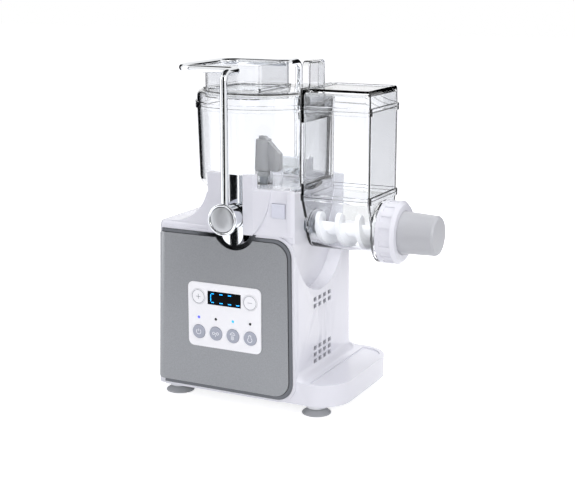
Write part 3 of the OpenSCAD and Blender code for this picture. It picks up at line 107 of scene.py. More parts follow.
class PastaMakerSizes(bpy.types.PropertyGroup):
    """Sizes of the details that the frame leaves to the dressing."""

    shell_edge: length("Shell edge", "Rounding of the housing's moulded edges", 0.7)
    panel_edge: length("Panel edge", "Rounding of the front panel's edge", 0.9)
    cap_ring: length("Cap ring", "Width of the bright ring round a pivot cap", 2.6)
    guide_hollow: length("Guide hollow", "Depth of the hollow down a guide strip", 0.7)
    stroke: length("Stroke", "Width of the strokes printed on the keys", 0.55)


# Materials. A pattern's scale is 1 / its real size in metres.
def begin(name):
    """A bare material with its tree, its shader and the object coordinates in metres."""
    made = bpy.data.materials.new(name)
    made.use_nodes = True
    tree = made.node_tree
    return made, tree, tree.nodes["Principled BSDF"], add(
        tree, "ShaderNodeTexCoord").outputs["Object"]


def add(tree, kind, settings=None, links=None):
    """Adds a node, sets its inputs or properties and links its inputs to other outputs."""
    node = tree.nodes.new(kind)
    for key, value in (settings or {}).items():
        if isinstance(key, int) or key in node.inputs:
            node.inputs[key].default_value = value
        else:
            setattr(node, key, value)
    for key, output in (links or {}).items():
        tree.links.new(output, node.inputs[key])
    return node


def moulded(name, tint, rough, grain_mm=0.9, depth_mm=0.004, coat=0.0, shine=0.5):
    """An injection-moulded plastic: its gloss drifts over the wall, its skin is the tool's."""
    made, tree, shader, place = begin(name)
    shader.inputs["Base Color"].default_value = tint
    shader.inputs["IOR"].default_value = 1.5
    shader.inputs["Specular IOR Level"].default_value = shine
    shader.inputs["Coat Weight"].default_value = coat
    shader.inputs["Coat Roughness"].default_value = 0.06
    drift = add(tree, "ShaderNodeTexNoise", {"Scale": 1 / (38 * MM), "Detail": 2.0},
                {"Vector": place})
    gloss = add(tree, "ShaderNodeMapRange", {"To Min": rough * 0.85, "To Max": rough * 1.15},
                {"Value": drift.outputs["Fac"]})
    skin_grain = add(tree, "ShaderNodeTexNoise", {"Scale": 1 / (grain_mm * MM), "Detail": 2.0},
                     {"Vector": place})
    bump = add(tree, "ShaderNodeBump", {"Distance": depth_mm * MM},
               {"Height": skin_grain.outputs["Fac"]})
    tree.links.new(gloss.outputs["Result"], shader.inputs["Roughness"])
    tree.links.new(bump.outputs["Normal"], shader.inputs["Normal"])
    return made


def bright(name, tint, rough):
    """A polished or plated metal: a near mirror with the long ripple of its polishing."""
    made, tree, shader, place = begin(name)
    shader.inputs["Base Color"].default_value = tint
    shader.inputs["Metallic"].default_value = 1.0
    smear = add(tree, "ShaderNodeTexNoise", {"Scale": 1 / (6 * MM), "Detail": 4.0},
                {"Vector": place})
    gloss = add(tree, "ShaderNodeMapRange", {"To Min": rough * 0.6, "To Max": rough * 1.5},
                {"Value": smear.outputs["Fac"]})
    ripple = add(tree, "ShaderNodeTexNoise", {"Scale": 1 / (22 * MM), "Detail": 1.0},
                 {"Vector": place})
    bump = add(tree, "ShaderNodeBump", {"Distance": 0.005 * MM},
               {"Height": ripple.outputs["Fac"]})
    tree.links.new(gloss.outputs["Result"], shader.inputs["Roughness"])
    tree.links.new(bump.outputs["Normal"], shader.inputs["Normal"])
    return made


def spun(name, tint, centre):
    """Spun aluminium: fine turned rings about a pivot cap's axis under a satin sheen."""
    made, tree, shader, place = begin(name)
    shader.inputs["Base Color"].default_value = tint
    shader.inputs["Metallic"].default_value = 0.9
    # The rings are 0.5 mm apart, coarser than real ones, so that they show
    centred = add(tree, "ShaderNodeMapping", {"Location": [-c for c in centre]},
                  {"Vector": place})
    rings = add(tree, "ShaderNodeTexWave",
                {"wave_type": "RINGS", "rings_direction": "Y", "Scale": WAVE_PERIOD / (0.5 * MM),
                 "Distortion": 0.3}, {"Vector": centred.outputs["Vector"]})
    gloss = add(tree, "ShaderNodeMapRange", {"To Min": 0.27, "To Max": 0.36},
                {"Value": rings.outputs["Fac"]})
    bump = add(tree, "ShaderNodeBump", {"Distance": 0.004 * MM},
               {"Height": rings.outputs["Fac"]})
    tree.links.new(gloss.outputs["Result"], shader.inputs["Roughness"])
    tree.links.new(bump.outputs["Normal"], shader.inputs["Normal"])
    return made


def clear(name, tint, painted_slant_grey, rim):
    """Clear moulded styrene-acrylonitrile: colourless, with painted shade that darkens its walls
    edge-on.
    """
    made, tree, shader, place = begin(name)
    shader.inputs["Transmission Weight"].default_value = 1.0
    shader.inputs["IOR"].default_value = 1.45
    # Painted shade: every wall greys at a slant, and upright walls go near black edge-on; floors
    # and lids, always seen at a low angle, hardly do
    edge_on = add(tree, "ShaderNodeLayerWeight", {"Blend": 0.5})
    deep = add(tree, "ShaderNodeMapRange", {"From Min": 0.7, "From Max": 0.86},
               {"Value": edge_on.outputs["Facing"]})
    normal = add(tree, "ShaderNodeSeparateXYZ", None,
                 {"Vector": add(tree, "ShaderNodeNewGeometry").outputs["Normal"]})
    steep = add(tree, "ShaderNodeMath", {"operation": "ABSOLUTE"}, {0: normal.outputs["Z"]})
    upright = add(tree, "ShaderNodeMapRange",
                  {"From Min": 0.25, "From Max": 0.7, "To Min": 1.0, "To Max": 0.12},
                  {"Value": steep.outputs[0]})
    painted_rim_shade = add(tree, "ShaderNodeMath", {"operation": "MULTIPLY"},
                 {0: deep.outputs["Result"], 1: upright.outputs["Result"]})
    # Painted shade: a wall greys towards the slant colour as it turns away from the view
    oblique = add(tree, "ShaderNodeMapRange", {"From Min": 0.15, "From Max": 0.6},
                  {"Value": edge_on.outputs["Facing"]})
    body = add(tree, "ShaderNodeMix", {"data_type": "RGBA", 6: tint, 7: painted_slant_grey},
               {0: oblique.outputs["Result"]})
    # Painted shade: upright walls go towards the near black rim colour when seen edge-on
    tone = add(tree, "ShaderNodeMix", {"data_type": "RGBA", 7: rim},
               {0: painted_rim_shade.outputs[0], 6: body.outputs[2]})
    haze = add(tree, "ShaderNodeTexNoise", {"Scale": 1 / (45 * MM), "Detail": 2.0},
               {"Vector": place})
    gloss = add(tree, "ShaderNodeMapRange", {"To Min": 0.006, "To Max": 0.02},
                {"Value": haze.outputs["Fac"]})
    flow = add(tree, "ShaderNodeTexNoise", {"Scale": 1 / (60 * MM), "Detail": 0.0},
               {"Vector": place})
    bump = add(tree, "ShaderNodeBump", {"Distance": 0.02 * MM, "Strength": 0.35},
               {"Height": flow.outputs["Fac"]})
    tree.links.new(tone.outputs[2], shader.inputs["Base Color"])
    tree.links.new(gloss.outputs["Result"], shader.inputs["Roughness"])
    tree.links.new(bump.outputs["Normal"], shader.inputs["Normal"])
    return made


def lacquered(name, tint):
    """Fine silver lacquer on a moulding: small flakes and a satin sheen."""
    made, tree, shader, place = begin(name)
    # Flakes 0.6 mm across, coarser than real ones, so that the grain shows
    flake = add(tree, "ShaderNodeTexVoronoi", {"Scale": 1 / (0.6 * MM)}, {"Vector": place})
    tone = add(tree, "ShaderNodeMix",
               {"data_type": "RGBA", 6: [c * 0.93 for c in tint[:3]] + [1.0],
                7: [min(1, c * 1.12) for c in tint[:3]] + [1.0]},
               {0: flake.outputs["Color"]})
    drift = add(tree, "ShaderNodeTexNoise", {"Scale": 1 / (30 * MM), "Detail": 2.0},
                {"Vector": place})
    gloss = add(tree, "ShaderNodeMapRange", {"To Min": 0.36, "To Max": 0.42},
                {"Value": drift.outputs["Fac"]})
    bump = add(tree, "ShaderNodeBump", {"Distance": 0.005 * MM, "Strength": 0.5},
               {"Height": flake.outputs["Distance"]})
    shader.inputs["Metallic"].default_value = 0.7
    tree.links.new(tone.outputs[2], shader.inputs["Base Color"])
    tree.links.new(gloss.outputs["Result"], shader.inputs["Roughness"])
    tree.links.new(bump.outputs["Normal"], shader.inputs["Normal"])
    return made


def lit(name, tint, strength):
    """A lit display stroke or lamp: tinted light pipe, a little uneven across."""
    made, tree, shader, place = begin(name)
    shader.inputs["Base Color"].default_value = tint
    shader.inputs["Roughness"].default_value = 0.3
    shader.inputs["Emission Color"].default_value = tint
    glow = add(tree, "ShaderNodeTexNoise", {"Scale": 1 / (3 * MM)}, {"Vector": place})
    power = add(tree, "ShaderNodeMapRange", {"To Min": strength * 0.8, "To Max": strength * 1.2},
                {"Value": glow.outputs["Fac"]})
    tree.links.new(power.outputs["Result"], shader.inputs["Emission Strength"])
    return made


def shown_rays(tree):
    """1 for camera, glossy and transmission rays, which carry what shows, and 0 for others."""
    path = add(tree, "ShaderNodeLightPath")
    seen = add(tree, "ShaderNodeMath", {"operation": "ADD", "use_clamp": True},
               {0: path.outputs["Is Camera Ray"], 1: path.outputs["Is Glossy Ray"]})
    shown = add(tree, "ShaderNodeMath", {"operation": "ADD", "use_clamp": True},
                {0: seen.outputs[0], 1: path.outputs["Is Transmission Ray"]})
    return shown.outputs[0]


MATERIALS = {}


def make_materials(tints):
    """Makes every finish once."""
    MATERIALS.update({
        "shell": moulded("Glossy ABS, moulded white", tints.shell, 0.24, coat=0.25),
        "satin": moulded("Satin ABS, moulded off-white", tints.satin, 0.42, depth_mm=0.008),
        "ink_white": moulded("White pad-printed ink", linear("#f4f5f8"), 0.5, 0.4),
        "ink_grey": moulded("Grey pad-printed ink", linear("#aaacb0"), 0.5, 0.4),
        "white": moulded("White ABS control plate, moulded", linear("#fdfdff"), 0.3),
        "silver": lacquered("Silver lacquer on ABS", tints.panel),
        "chrome": bright("Chrome plate on steel", tints.plate, 0.06),
        # The trim's dark tint is painted shade: it stands in for the dark band along the panel's
        # right and lower edges
        "trim": bright("Plated trim, tinted dark as painted shade", linear("#606266"), 0.1),
        "spun_front": spun("Spun aluminium disc, front", linear("#b6b8bb"), PIVOT_FRONT),
        "spun_rear": spun("Spun aluminium disc, rear", linear("#b6b8bb"), PIVOT_REAR),
        "grey": moulded("Grey acetal, moulded", tints.paddle, 0.36),
        "lilac": moulded("Grey-lilac key plastic", tints.keys, 0.35, coat=0.3),
        "pale_lilac": moulded("Pale lilac release key", linear("#d9dbe6"), 0.35, coat=0.2),
        # The clear finish's grey and near black are painted shade for walls seen at a slant and
        # edge-on
        "clear": clear("Clear styrene-acrylonitrile, moulded", tints.clear, linear("#e6e7e9"),
                       linear("#2e3237")),
        "nozzle": moulded("Grey acetal nozzle, moulded", linear("#b9babd"), 0.34),
        "window": moulded("Smoked acrylic window", linear("#050608"), 0.12, shine=0.06),
        "stroke": lit("Lit display stroke", tints.display, 1.6),
        "violet": lit("Lit lamp, violet blue", linear("#4650f0"), 1.2),
        "azure": lit("Lit lamp, light blue", linear("#2197f3"), 1.2),
        "dark_lamp": moulded("Unlit lamp, smoked acrylic", linear("#0b0c0e"), 0.2),
        "steel": bright("Turned and pressed steel", linear("#9aa0a6"), 0.3),
        "brass": bright("Machined brass", linear("#c2a04e"), 0.28),
        "board": moulded("Solder mask on glass fibre", linear("#2f6f4a"), 0.35),
        "black": moulded("Black nylon, moulded", linear("#1a1b1d"), 0.45),
        "rubber": moulded("Grey silicone rubber", linear("#b2b4b6"), 0.5, 0.5, 0.02),
    })


# The finish that a carried-over node of each slot gets
SLOT_LOOKS = {
    "white_gloss": "shell", "white_satin": "satin", "silver_panel": "silver",
    "chrome": "chrome", "grey_plastic": "grey", "lilac_plastic": "lilac",
    "clear_plastic": "clear", "black_window": "window", "lamp_blue": "azure",
    "steel": "steel", "brass": "brass", "board_green": "board", "black_plastic": "black",
    "grey_rubber": "rubber",
}

# Bail: its pivot, its caps, and the bands that a guide strip's hollow is made of
PIVOT_Z, CAP_R, CAP_FACE, CAP_BACK = 185.5, 14.7, 82.6, 80.2
CAP_SINK, DISC_GAP, GUIDE_BANDS = 1.4, 0.7, 14
PIVOT_FRONT, PIVOT_REAR = [(DATUM @ Vector((0, y, PIVOT_Z))) for y in (-CAP_FACE, CAP_FACE)]

# Control plate: its centre and rows, the signs on its keys, and its lamps' size
FASCIA_X, DISPLAY_Z, LAMP_Z, BUTTON_Z = -10.5, 105.1, 84.8, 70.8
BUTTON_PITCH, KEY_SPREAD = 18.3, 27.5
BUTTON_X = [FASCIA_X + (i - 1.5) * BUTTON_PITCH for i in range(4)]
KEY_X = (FASCIA_X - KEY_SPREAD, FASCIA_X + KEY_SPREAD)
KEY_RING, KEY_SIGN = 6.5, 4.6
LAMP_R, LAMP_BACK, LAMP_STEPS = 1.3, -60.4, 24
# Print: its thickness, and a bow's degrees to a step and least number of steps
PRINT_T, BOW_STEP, BOW_LEAST = 0.1, 10, 6

# Display: its left end, half height, four places, how far the two rows of strokes keep from its
# edges, and the strokes themselves
DISPLAY_LEFT, DISPLAY_HALF_H, DISPLAY_PLACES = -28.25, 6.55, (5.4, 14.5, 23.6, 32.2)
HIGH_DROP, LOW_RISE, BRACKET_TRIM, BRACKET_GAP = 2.4, 2.3, 1.2, 0.6
BRACKET_RUN, BRACKET_OUT, BRACKET_LEAN, DASH_RUN, LIT_WIDTH = 2.6, 2.0, 86, 3.4, 0.8


# Making pieces
def body_of(node):
    """The body that a frame node rides on."""
    for name, members in frame["record"]["behaviour"]["bodies"].items():
        if node in members:
            return name
    raise ValueError("no body holds " + node)


def slot_of(node):
    """The finish slot of a frame node."""
    for row in frame["record"]["subparts"]:
        if row["node"] == node:
            return row["material_slot"]
    raise ValueError("no slot for " + node)


def front_of(node):
    """The datum's y of a frame node's front face."""
    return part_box(node)[0][1] / MM + ORIGIN.y


def finish_piece(name, bm, look, rides_with, replaced=(), smooth=SMOOTH_ANGLE, bevel=0.0,
                 segments=2, metres=False):
    """Turns a bmesh into a finished piece that rides with a node and stands for the replaced."""
    if not metres:
        bm.transform(DATUM)
    data = bpy.data.meshes.new(name)
    bm.to_mesh(data)
    bm.free()
    for face in data.polygons:
        face.use_smooth = True
    data.set_sharp_from_angle(angle=smooth)
    made = bpy.data.objects.new(name, data)
    bpy.context.scene.collection.objects.link(made)
    data.materials.append(MATERIALS[look])
    # Clear walls let the light through to what they hold
    made.visible_shadow = look != "clear"
    if bevel:
        edge = made.modifiers.new("Moulded edges", "BEVEL")
        edge.width = bevel * MM
        edge.segments = segments
        edge.limit_method = "ANGLE"
        edge.angle_limit = BEVEL_ANGLE
        edge.use_clamp_overlap = True
        edge.miter_outer = "MITER_ARC"
    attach(made, body_of(rides_with))
    if replaced:
        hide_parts(*replaced)
    return made


def merged(node):
    """A merged copy of a frame node's mesh, in metres."""
    bm = bmesh.new()
    bm.from_mesh(frame["nodes"][node].data)
    bmesh.ops.remove_doubles(bm, verts=bm.verts, dist=FRAME_WELD * MM)
    bmesh.ops.dissolve_limit(bm, angle_limit=FLAT_ANGLE, verts=bm.verts, edges=bm.edges)
    return bm


def dressed(node, look, bevel=0.3, segments=2):
    """A frame node's own shape with its edges rounded."""
    return finish_piece("dressed_" + node, merged(node), look, node, [node], bevel=bevel,
                        segments=segments, metres=True)


def arc(cx, cy, r, start, end, steps):
    """Points of an arc in the plane, both ends included, angles in degrees."""
    turns = [radians(start + (end - start) * i / steps) for i in range(steps + 1)]
    return [(cx + r * cos(a), cy + r * sin(a)) for a in turns]


def rounded(x0, x1, y0, y1, radii, steps=8):
    """A rounded rectangle; radii are its corners', anticlockwise from the lower left."""
    a, b, c, d = radii
    return (arc(x0 + a, y0 + a, a, 180, 270, steps) + arc(x1 - b, y0 + b, b, 270, 360, steps)
            + arc(x1 - c, y1 - c, c, 0, 90, steps) + arc(x0 + d, y1 - d, d, 90, 180, steps))


def d_outline(r, flat, bay=None):
    """A circle of radius r cut straight at x = flat; a bay is its inner x and half width."""
    cut = min(flat, r - 1e-3)
    start = degrees(acos(cut / r))
    side = []
    if bay:
        bay_x, bay_half = bay
        side = [(cut, -bay_half), (min(bay_x, cut - 1e-3), -bay_half),
                (min(bay_x, cut - 1e-3), bay_half), (cut, bay_half)]
    return arc(0, 0, r, start, 360 - start, BOWL_STEPS) + side


def level(points, z):
    """Lifts plane points to height z."""
    return [(x, y, z) for x, y in points]


def skin(rings, closed=False):
    """A mesh through rings of points, bridged one to the next and closed or capped."""
    bm = bmesh.new()
    loops = []
    for ring in rings:
        verts = [bm.verts.new(p) for p in ring]
        loops.append([bm.edges.new((verts[i - 1], verts[i])) for i in range(len(verts))])
    pairs = list(zip(loops, loops[1:]))
    if closed:
        pairs.append((loops[-1], loops[0]))
    for first, second in pairs:
        bmesh.ops.bridge_loops(bm, edges=first + second)
    if not closed:
        for loop in (loops[0], loops[-1]):
            bmesh.ops.contextual_create(bm, geom=loop)
    bmesh.ops.remove_doubles(bm, verts=bm.verts, dist=WELD)
    bmesh.ops.recalc_face_normals(bm, faces=bm.faces)
    return bm


def open_through(bm, axis, low, high):
    """Cuts an opening through the walls across an axis that lie between two corners."""
    for side in [i for i in range(3) if i != axis]:
        for bound in (low, high):
            normal = [float(i == side) for i in range(3)]
            bmesh.ops.bisect_plane(bm, geom=bm.verts[:] + bm.edges[:] + bm.faces[:],
                                   plane_co=bound, plane_no=normal, dist=WELD)
    gone = [f for f in bm.faces if abs(f.normal[axis]) > 0.9
            and all(low[i] < f.calc_center_median()[i] < high[i] for i in range(3))]
    bmesh.ops.delete(bm, geom=gone, context="FACES")
    bmesh.ops.bridge_loops(bm, edges=[e for e in bm.edges if e.is_boundary])
    bmesh.ops.recalc_face_normals(bm, faces=bm.faces)


def lathe(profile, at, steps=96):
    """Turns a closed profile of (radius, y) points about an axis along y through a point."""
    bm = bmesh.new()
    verts = [bm.verts.new((r, y, 0)) for r, y in profile]
    edges = [bm.edges.new((verts[i - 1], verts[i])) for i in range(len(verts))]
    bmesh.ops.spin(bm, geom=verts + edges, cent=(0, 0, 0), axis=(0, 1, 0), angle=2 * pi,
                   steps=steps, use_merge=True)
    bmesh.ops.remove_doubles(bm, verts=bm.verts, dist=WELD)
    bm.transform(Matrix.Translation(at))
    bmesh.ops.recalc_face_normals(bm, faces=bm.faces)
    return bm


def absorb(first, other):
    """Adds the mesh of other to first."""
    data = bpy.data.meshes.new("part")
    other.to_mesh(data)
    other.free()
    first.from_mesh(data)
    bpy.data.meshes.remove(data)


def printed(name, look, node, face, width, bars, bows=()):
    """Printed strokes on a face that looks forwards.

    A bar is its centre, length and angle; a bow its centre, radius, start and end angles.
    """
    bm = bmesh.new()
    y = face - PRINT_T / 2
    for x, z, run, turn in bars:
        place = Matrix.Translation((x, y, z)) @ Matrix.Rotation(radians(-turn), 4, "Y")
        bmesh.ops.create_cube(bm, size=1.0, matrix=place @ Matrix.Diagonal(
            (run, PRINT_T, width, 1.0)))
    for x, z, r, start, end in bows:
        one = bmesh.new()
        a = radians(start)
        corners = [(r - width / 2, -PRINT_T / 2), (r + width / 2, -PRINT_T / 2),
                   (r + width / 2, PRINT_T / 2), (r - width / 2, PRINT_T / 2)]
        verts = [one.verts.new((c * cos(a), dy, c * sin(a))) for c, dy in corners]
        edges = [one.edges.new((verts[i - 1], verts[i])) for i in range(4)]
        whole = abs(end - start) > 359
        bmesh.ops.spin(one, geom=verts + edges, cent=(0, 0, 0), axis=(0, -1, 0),
                       angle=radians(end - start), use_merge=whole,
                       steps=max(BOW_LEAST, int(abs(end - start) / BOW_STEP)))
        if not whole:
            bmesh.ops.holes_fill(one, edges=[e for e in one.edges if e.is_boundary])
        bmesh.ops.recalc_face_normals(one, faces=one.faces)
        one.transform(Matrix.Translation((x, y, z)))
        absorb(bm, one)
    return finish_piece(name, bm, look, node)


class PASTA_OT_frame(bpy.types.Operator):
    """Give every carried-over frame node its finish"""

    bl_idname = "pasta.frame"
    bl_label = "Frame finishes"

    def execute(self, context):
        make_materials(context.scene.pasta_colours)
        for node, obj in frame["nodes"].items():
            obj.data.materials.clear()
            obj.data.materials.append(MATERIALS[SLOT_LOOKS[slot_of(node)]])
        return {"FINISHED"}


class PASTA_OT_housing(bpy.types.Operator):
    """Build the housing, its base, feet, front panel and release key"""

    bl_idname = "pasta.housing"
    bl_label = "Housing"

    def execute(self, context):
        sizes = context.scene.pasta_sizes
        dressed("main_housing", "shell", bevel=sizes.shell_edge / MM, segments=3)
        dressed("base_plate", "satin", bevel=0.4)
        dressed("suction_feet", "rubber", bevel=0.5)
        dressed("front_panel", "silver", bevel=sizes.panel_edge / MM, segments=3)
        dressed("panel_trim", "trim", bevel=0.6, segments=3)
        dressed("release_button", "pale_lilac", bevel=0.6, segments=3)
        return {"FINISHED"}


class PASTA_OT_controls(bpy.types.Operator):
    """Build the control plate, its keys with their signs, the display and the lamps"""

    bl_idname = "pasta.controls"
    bl_label = "Controls"

    def execute(self, context):
        width = context.scene.pasta_sizes.stroke / MM
        dressed("control_fascia", "white", bevel=0.3)
        # Each button's sign about its centre: bars, then bows
        signs = {
            "power_button": ([(0, 1.6, 2.4, 90)], [(0, 0, 2.4, 125, 415)]),
            "knead_button": ([(0, -1.9, 2.0, 90), (0, 0.3, 2.4, 0)],
                             [(-2.0, 0.2, 1.2, 0, 360), (2.0, 0.2, 1.2, 0, 360)]),
            "extrude_button": ([(0, 1.3, 5.6, 0), (0, -0.4, 3.2, 0), (-1.2, -2.2, 2.6, 90),
                                (0, -2.4, 3.0, 90), (1.2, -2.2, 2.6, 90)],
                               [(0, 1.3, 2.2, 20, 160)]),
            "mode_button": ([], [(0, 1.9, 1.3, -30, 210), (0, -1.3, 2.3, 120, 420)]),
        }
        for x, (node, (bars, bows)) in zip(BUTTON_X, signs.items()):
            dressed(node, "lilac", bevel=0.45, segments=3)
            printed(node.replace("button", "sign"), "ink_white", node, front_of(node), width,
                    [(x + a, BUTTON_Z + b, run, turn) for a, b, run, turn in bars],
                    [(x + a, BUTTON_Z + b, *rest) for a, b, *rest in bows])
        for x, node, turns in zip(KEY_X, ("plus_key", "minus_key"), ((0, 90), (0,))):
            dressed(node, "white", bevel=0.2)
            printed(node.replace("key", "sign"), "ink_grey", node, front_of(node), width,
                    [(x, DISPLAY_Z, KEY_SIGN, turn) for turn in turns],
                    [(x, DISPLAY_Z, KEY_RING, 0, 360)])
        self.display()
        self.lamps()
        return {"FINISHED"}

    @staticmethod
    def display():
        """The lit strokes: a bracket, then dashes above at two places and below at three."""
        places = [DISPLAY_LEFT + x for x in DISPLAY_PLACES]
        high = DISPLAY_Z + DISPLAY_HALF_H - HIGH_DROP
        low = DISPLAY_Z - DISPLAY_HALF_H + LOW_RISE
        middle, upright = (high + low) / 2, (high - low) / 2 - BRACKET_TRIM
        bars = [(places[0], z, BRACKET_RUN, 0) for z in (high, low)]
        bars += [(places[0] - BRACKET_OUT, middle + (upright + BRACKET_GAP) / 2 * side, upright,
                  BRACKET_LEAN) for side in (-1, 1)]
        bars += [(x, high, DASH_RUN, 0) for x in places[1:3]]
        bars += [(x, low, DASH_RUN, 0) for x in places[1:]]
        printed("display_strokes", "stroke", "display_window", front_of("display_window"),
                LIT_WIDTH, bars)

    @staticmethod
    def lamps():
        """Four small domed light pipes, two of them lit."""
        looks = ("violet", "dark_lamp", "azure", "dark_lamp")
        back, front = LAMP_BACK, front_of("status_lamps")
        for i, (x, look) in enumerate(zip(BUTTON_X, looks)):
            dome = [(0, back), (LAMP_R, back), (LAMP_R, front + 0.25),
                    (LAMP_R - 0.4, front + 0.05), (0, front)]
            bm = lathe(dome, (x, 0, LAMP_Z), LAMP_STEPS)
            finish_piece(f"lamp_{i}", bm, look, "status_lamps",
                         ["status_lamps"] if i == 0 else [])


class PASTA_OT_bail(bpy.types.Operator):
    """Build the bail, its pivot caps and its guide strips"""

    bl_idname = "pasta.bail"
    bl_label = "Bail"

    def execute(self, context):
        sizes = context.scene.pasta_sizes
        dressed("bail_handle", "chrome", bevel=0.4)
        for side, way in (("front", -1), ("rear", 1)):
            self.cap(side, way, sizes.cap_ring / MM)
            self.guide(side, way, sizes.guide_hollow / MM)
        return {"FINISHED"}

    @staticmethod
    def cap(side, way, ring):
        """A bright ring round a spun disc on the end of the pivot pin."""
        node = "bail_cap_" + side
        crown = [(r, way * y) for r, y in arc(CAP_R - ring / 2, CAP_FACE - ring / 2, ring / 2,
                                              0, 180, 10)]
        profile = [(0, way * CAP_BACK), (CAP_R, way * CAP_BACK)] + crown
        profile += [(x, way * (CAP_FACE - CAP_SINK)) for x in (CAP_R - ring, 0)]
        finish_piece("cap_ring_" + side, lathe(profile, (0, 0, PIVOT_Z)), "chrome", node, [node])
        r = CAP_R - ring - DISC_GAP
        # The disc's profile: radius, and depth under the cap's face
        disc = [(x, way * (CAP_FACE - down)) for x, down in (
            (0, 1.3), (r, 1.3), (r, 0.8), (r - 0.5, 0.55), (r * 0.5, 0.3), (0, 0.2))]
        finish_piece("cap_disc_" + side, lathe(disc, (0, 0, PIVOT_Z)), "spun_" + side, node)

    @staticmethod
    def guide(side, way, hollow):
        """A guide strip with a shallow hollow down its face, which draws its reflections out."""
        node = "bail_guide_" + side
        bm = merged(node)
        bm.transform(DATUM.inverted())
        half = max(v.co.x for v in bm.verts)
        face = max(way * v.co.y for v in bm.verts)
        for i in range(1, GUIDE_BANDS):
            bmesh.ops.bisect_plane(bm, geom=bm.verts[:] + bm.edges[:] + bm.faces[:],
                                   plane_co=(half * (2 * i / GUIDE_BANDS - 1), 0, 0),
                                   plane_no=(1, 0, 0))
        for v in bm.verts:
            if way * v.co.y > face - 1e-3:
                v.co.y -= way * hollow * (1 - (v.co.x / half) ** 2)
        finish_piece("guide_" + side, bm, "chrome", node, [node], smooth=radians(20))


# Kneading bowl, chamber and what moves in them
BOWL_R, BOWL_LOW_R, BOWL_BASE, BOWL_RIM = 62.5, 60.8, 204.6, 283.0
CLEAR_T, RIM_OUT, RIM_H, BOWL_FILLET, BOWL_FLAT = 2.2, 1.5, 3.0, 12.0, 53.4
BOSS_R, BOSS_TOP, RIM_SLOPE, CHAMBER_SLOPE = 8.6, 219.3, 0.4, 0.3
BOWL_STEPS, FLOOR_SHARE = 120, 0.6
WINDOW_HALF, WINDOW_BASE, WINDOW_TOP = 29.0, 215.0, 271.0
LID_BASE, LID_TOP, LID_SHOULDER = 283.3, 297.0, 6.0
GRIP_LEFT, GRIP_HALF = 48.1, 16.5
# The filler cup's left, right, front and rear sides, then its other sizes and its floor's slots
CUP = (-45.0, 11.5, -35.0, 35.0)
CUP_R, CUP_T, CUP_FLOOR, CUP_TOP, CUP_LIP, CUP_EDGE = 6.0, 1.8, 289.0, 320.0, 2.0, 1.2
SLOTS, SLOT_FIRST, SLOT_PITCH, SLOT_W, SLOT_HALF = 5, 10, 8, 3, 23
CHAMBER_LEFT, CHAMBER_RIGHT, CHAMBER_HALF, CHAMBER_R = 56.4, 122.5, 35.5, 5.0
SEAM_Z, CHAMBER_RIM, CHAMBER_LID_TOP = 203.5, 283.0, 302.0
GAP = 0.3


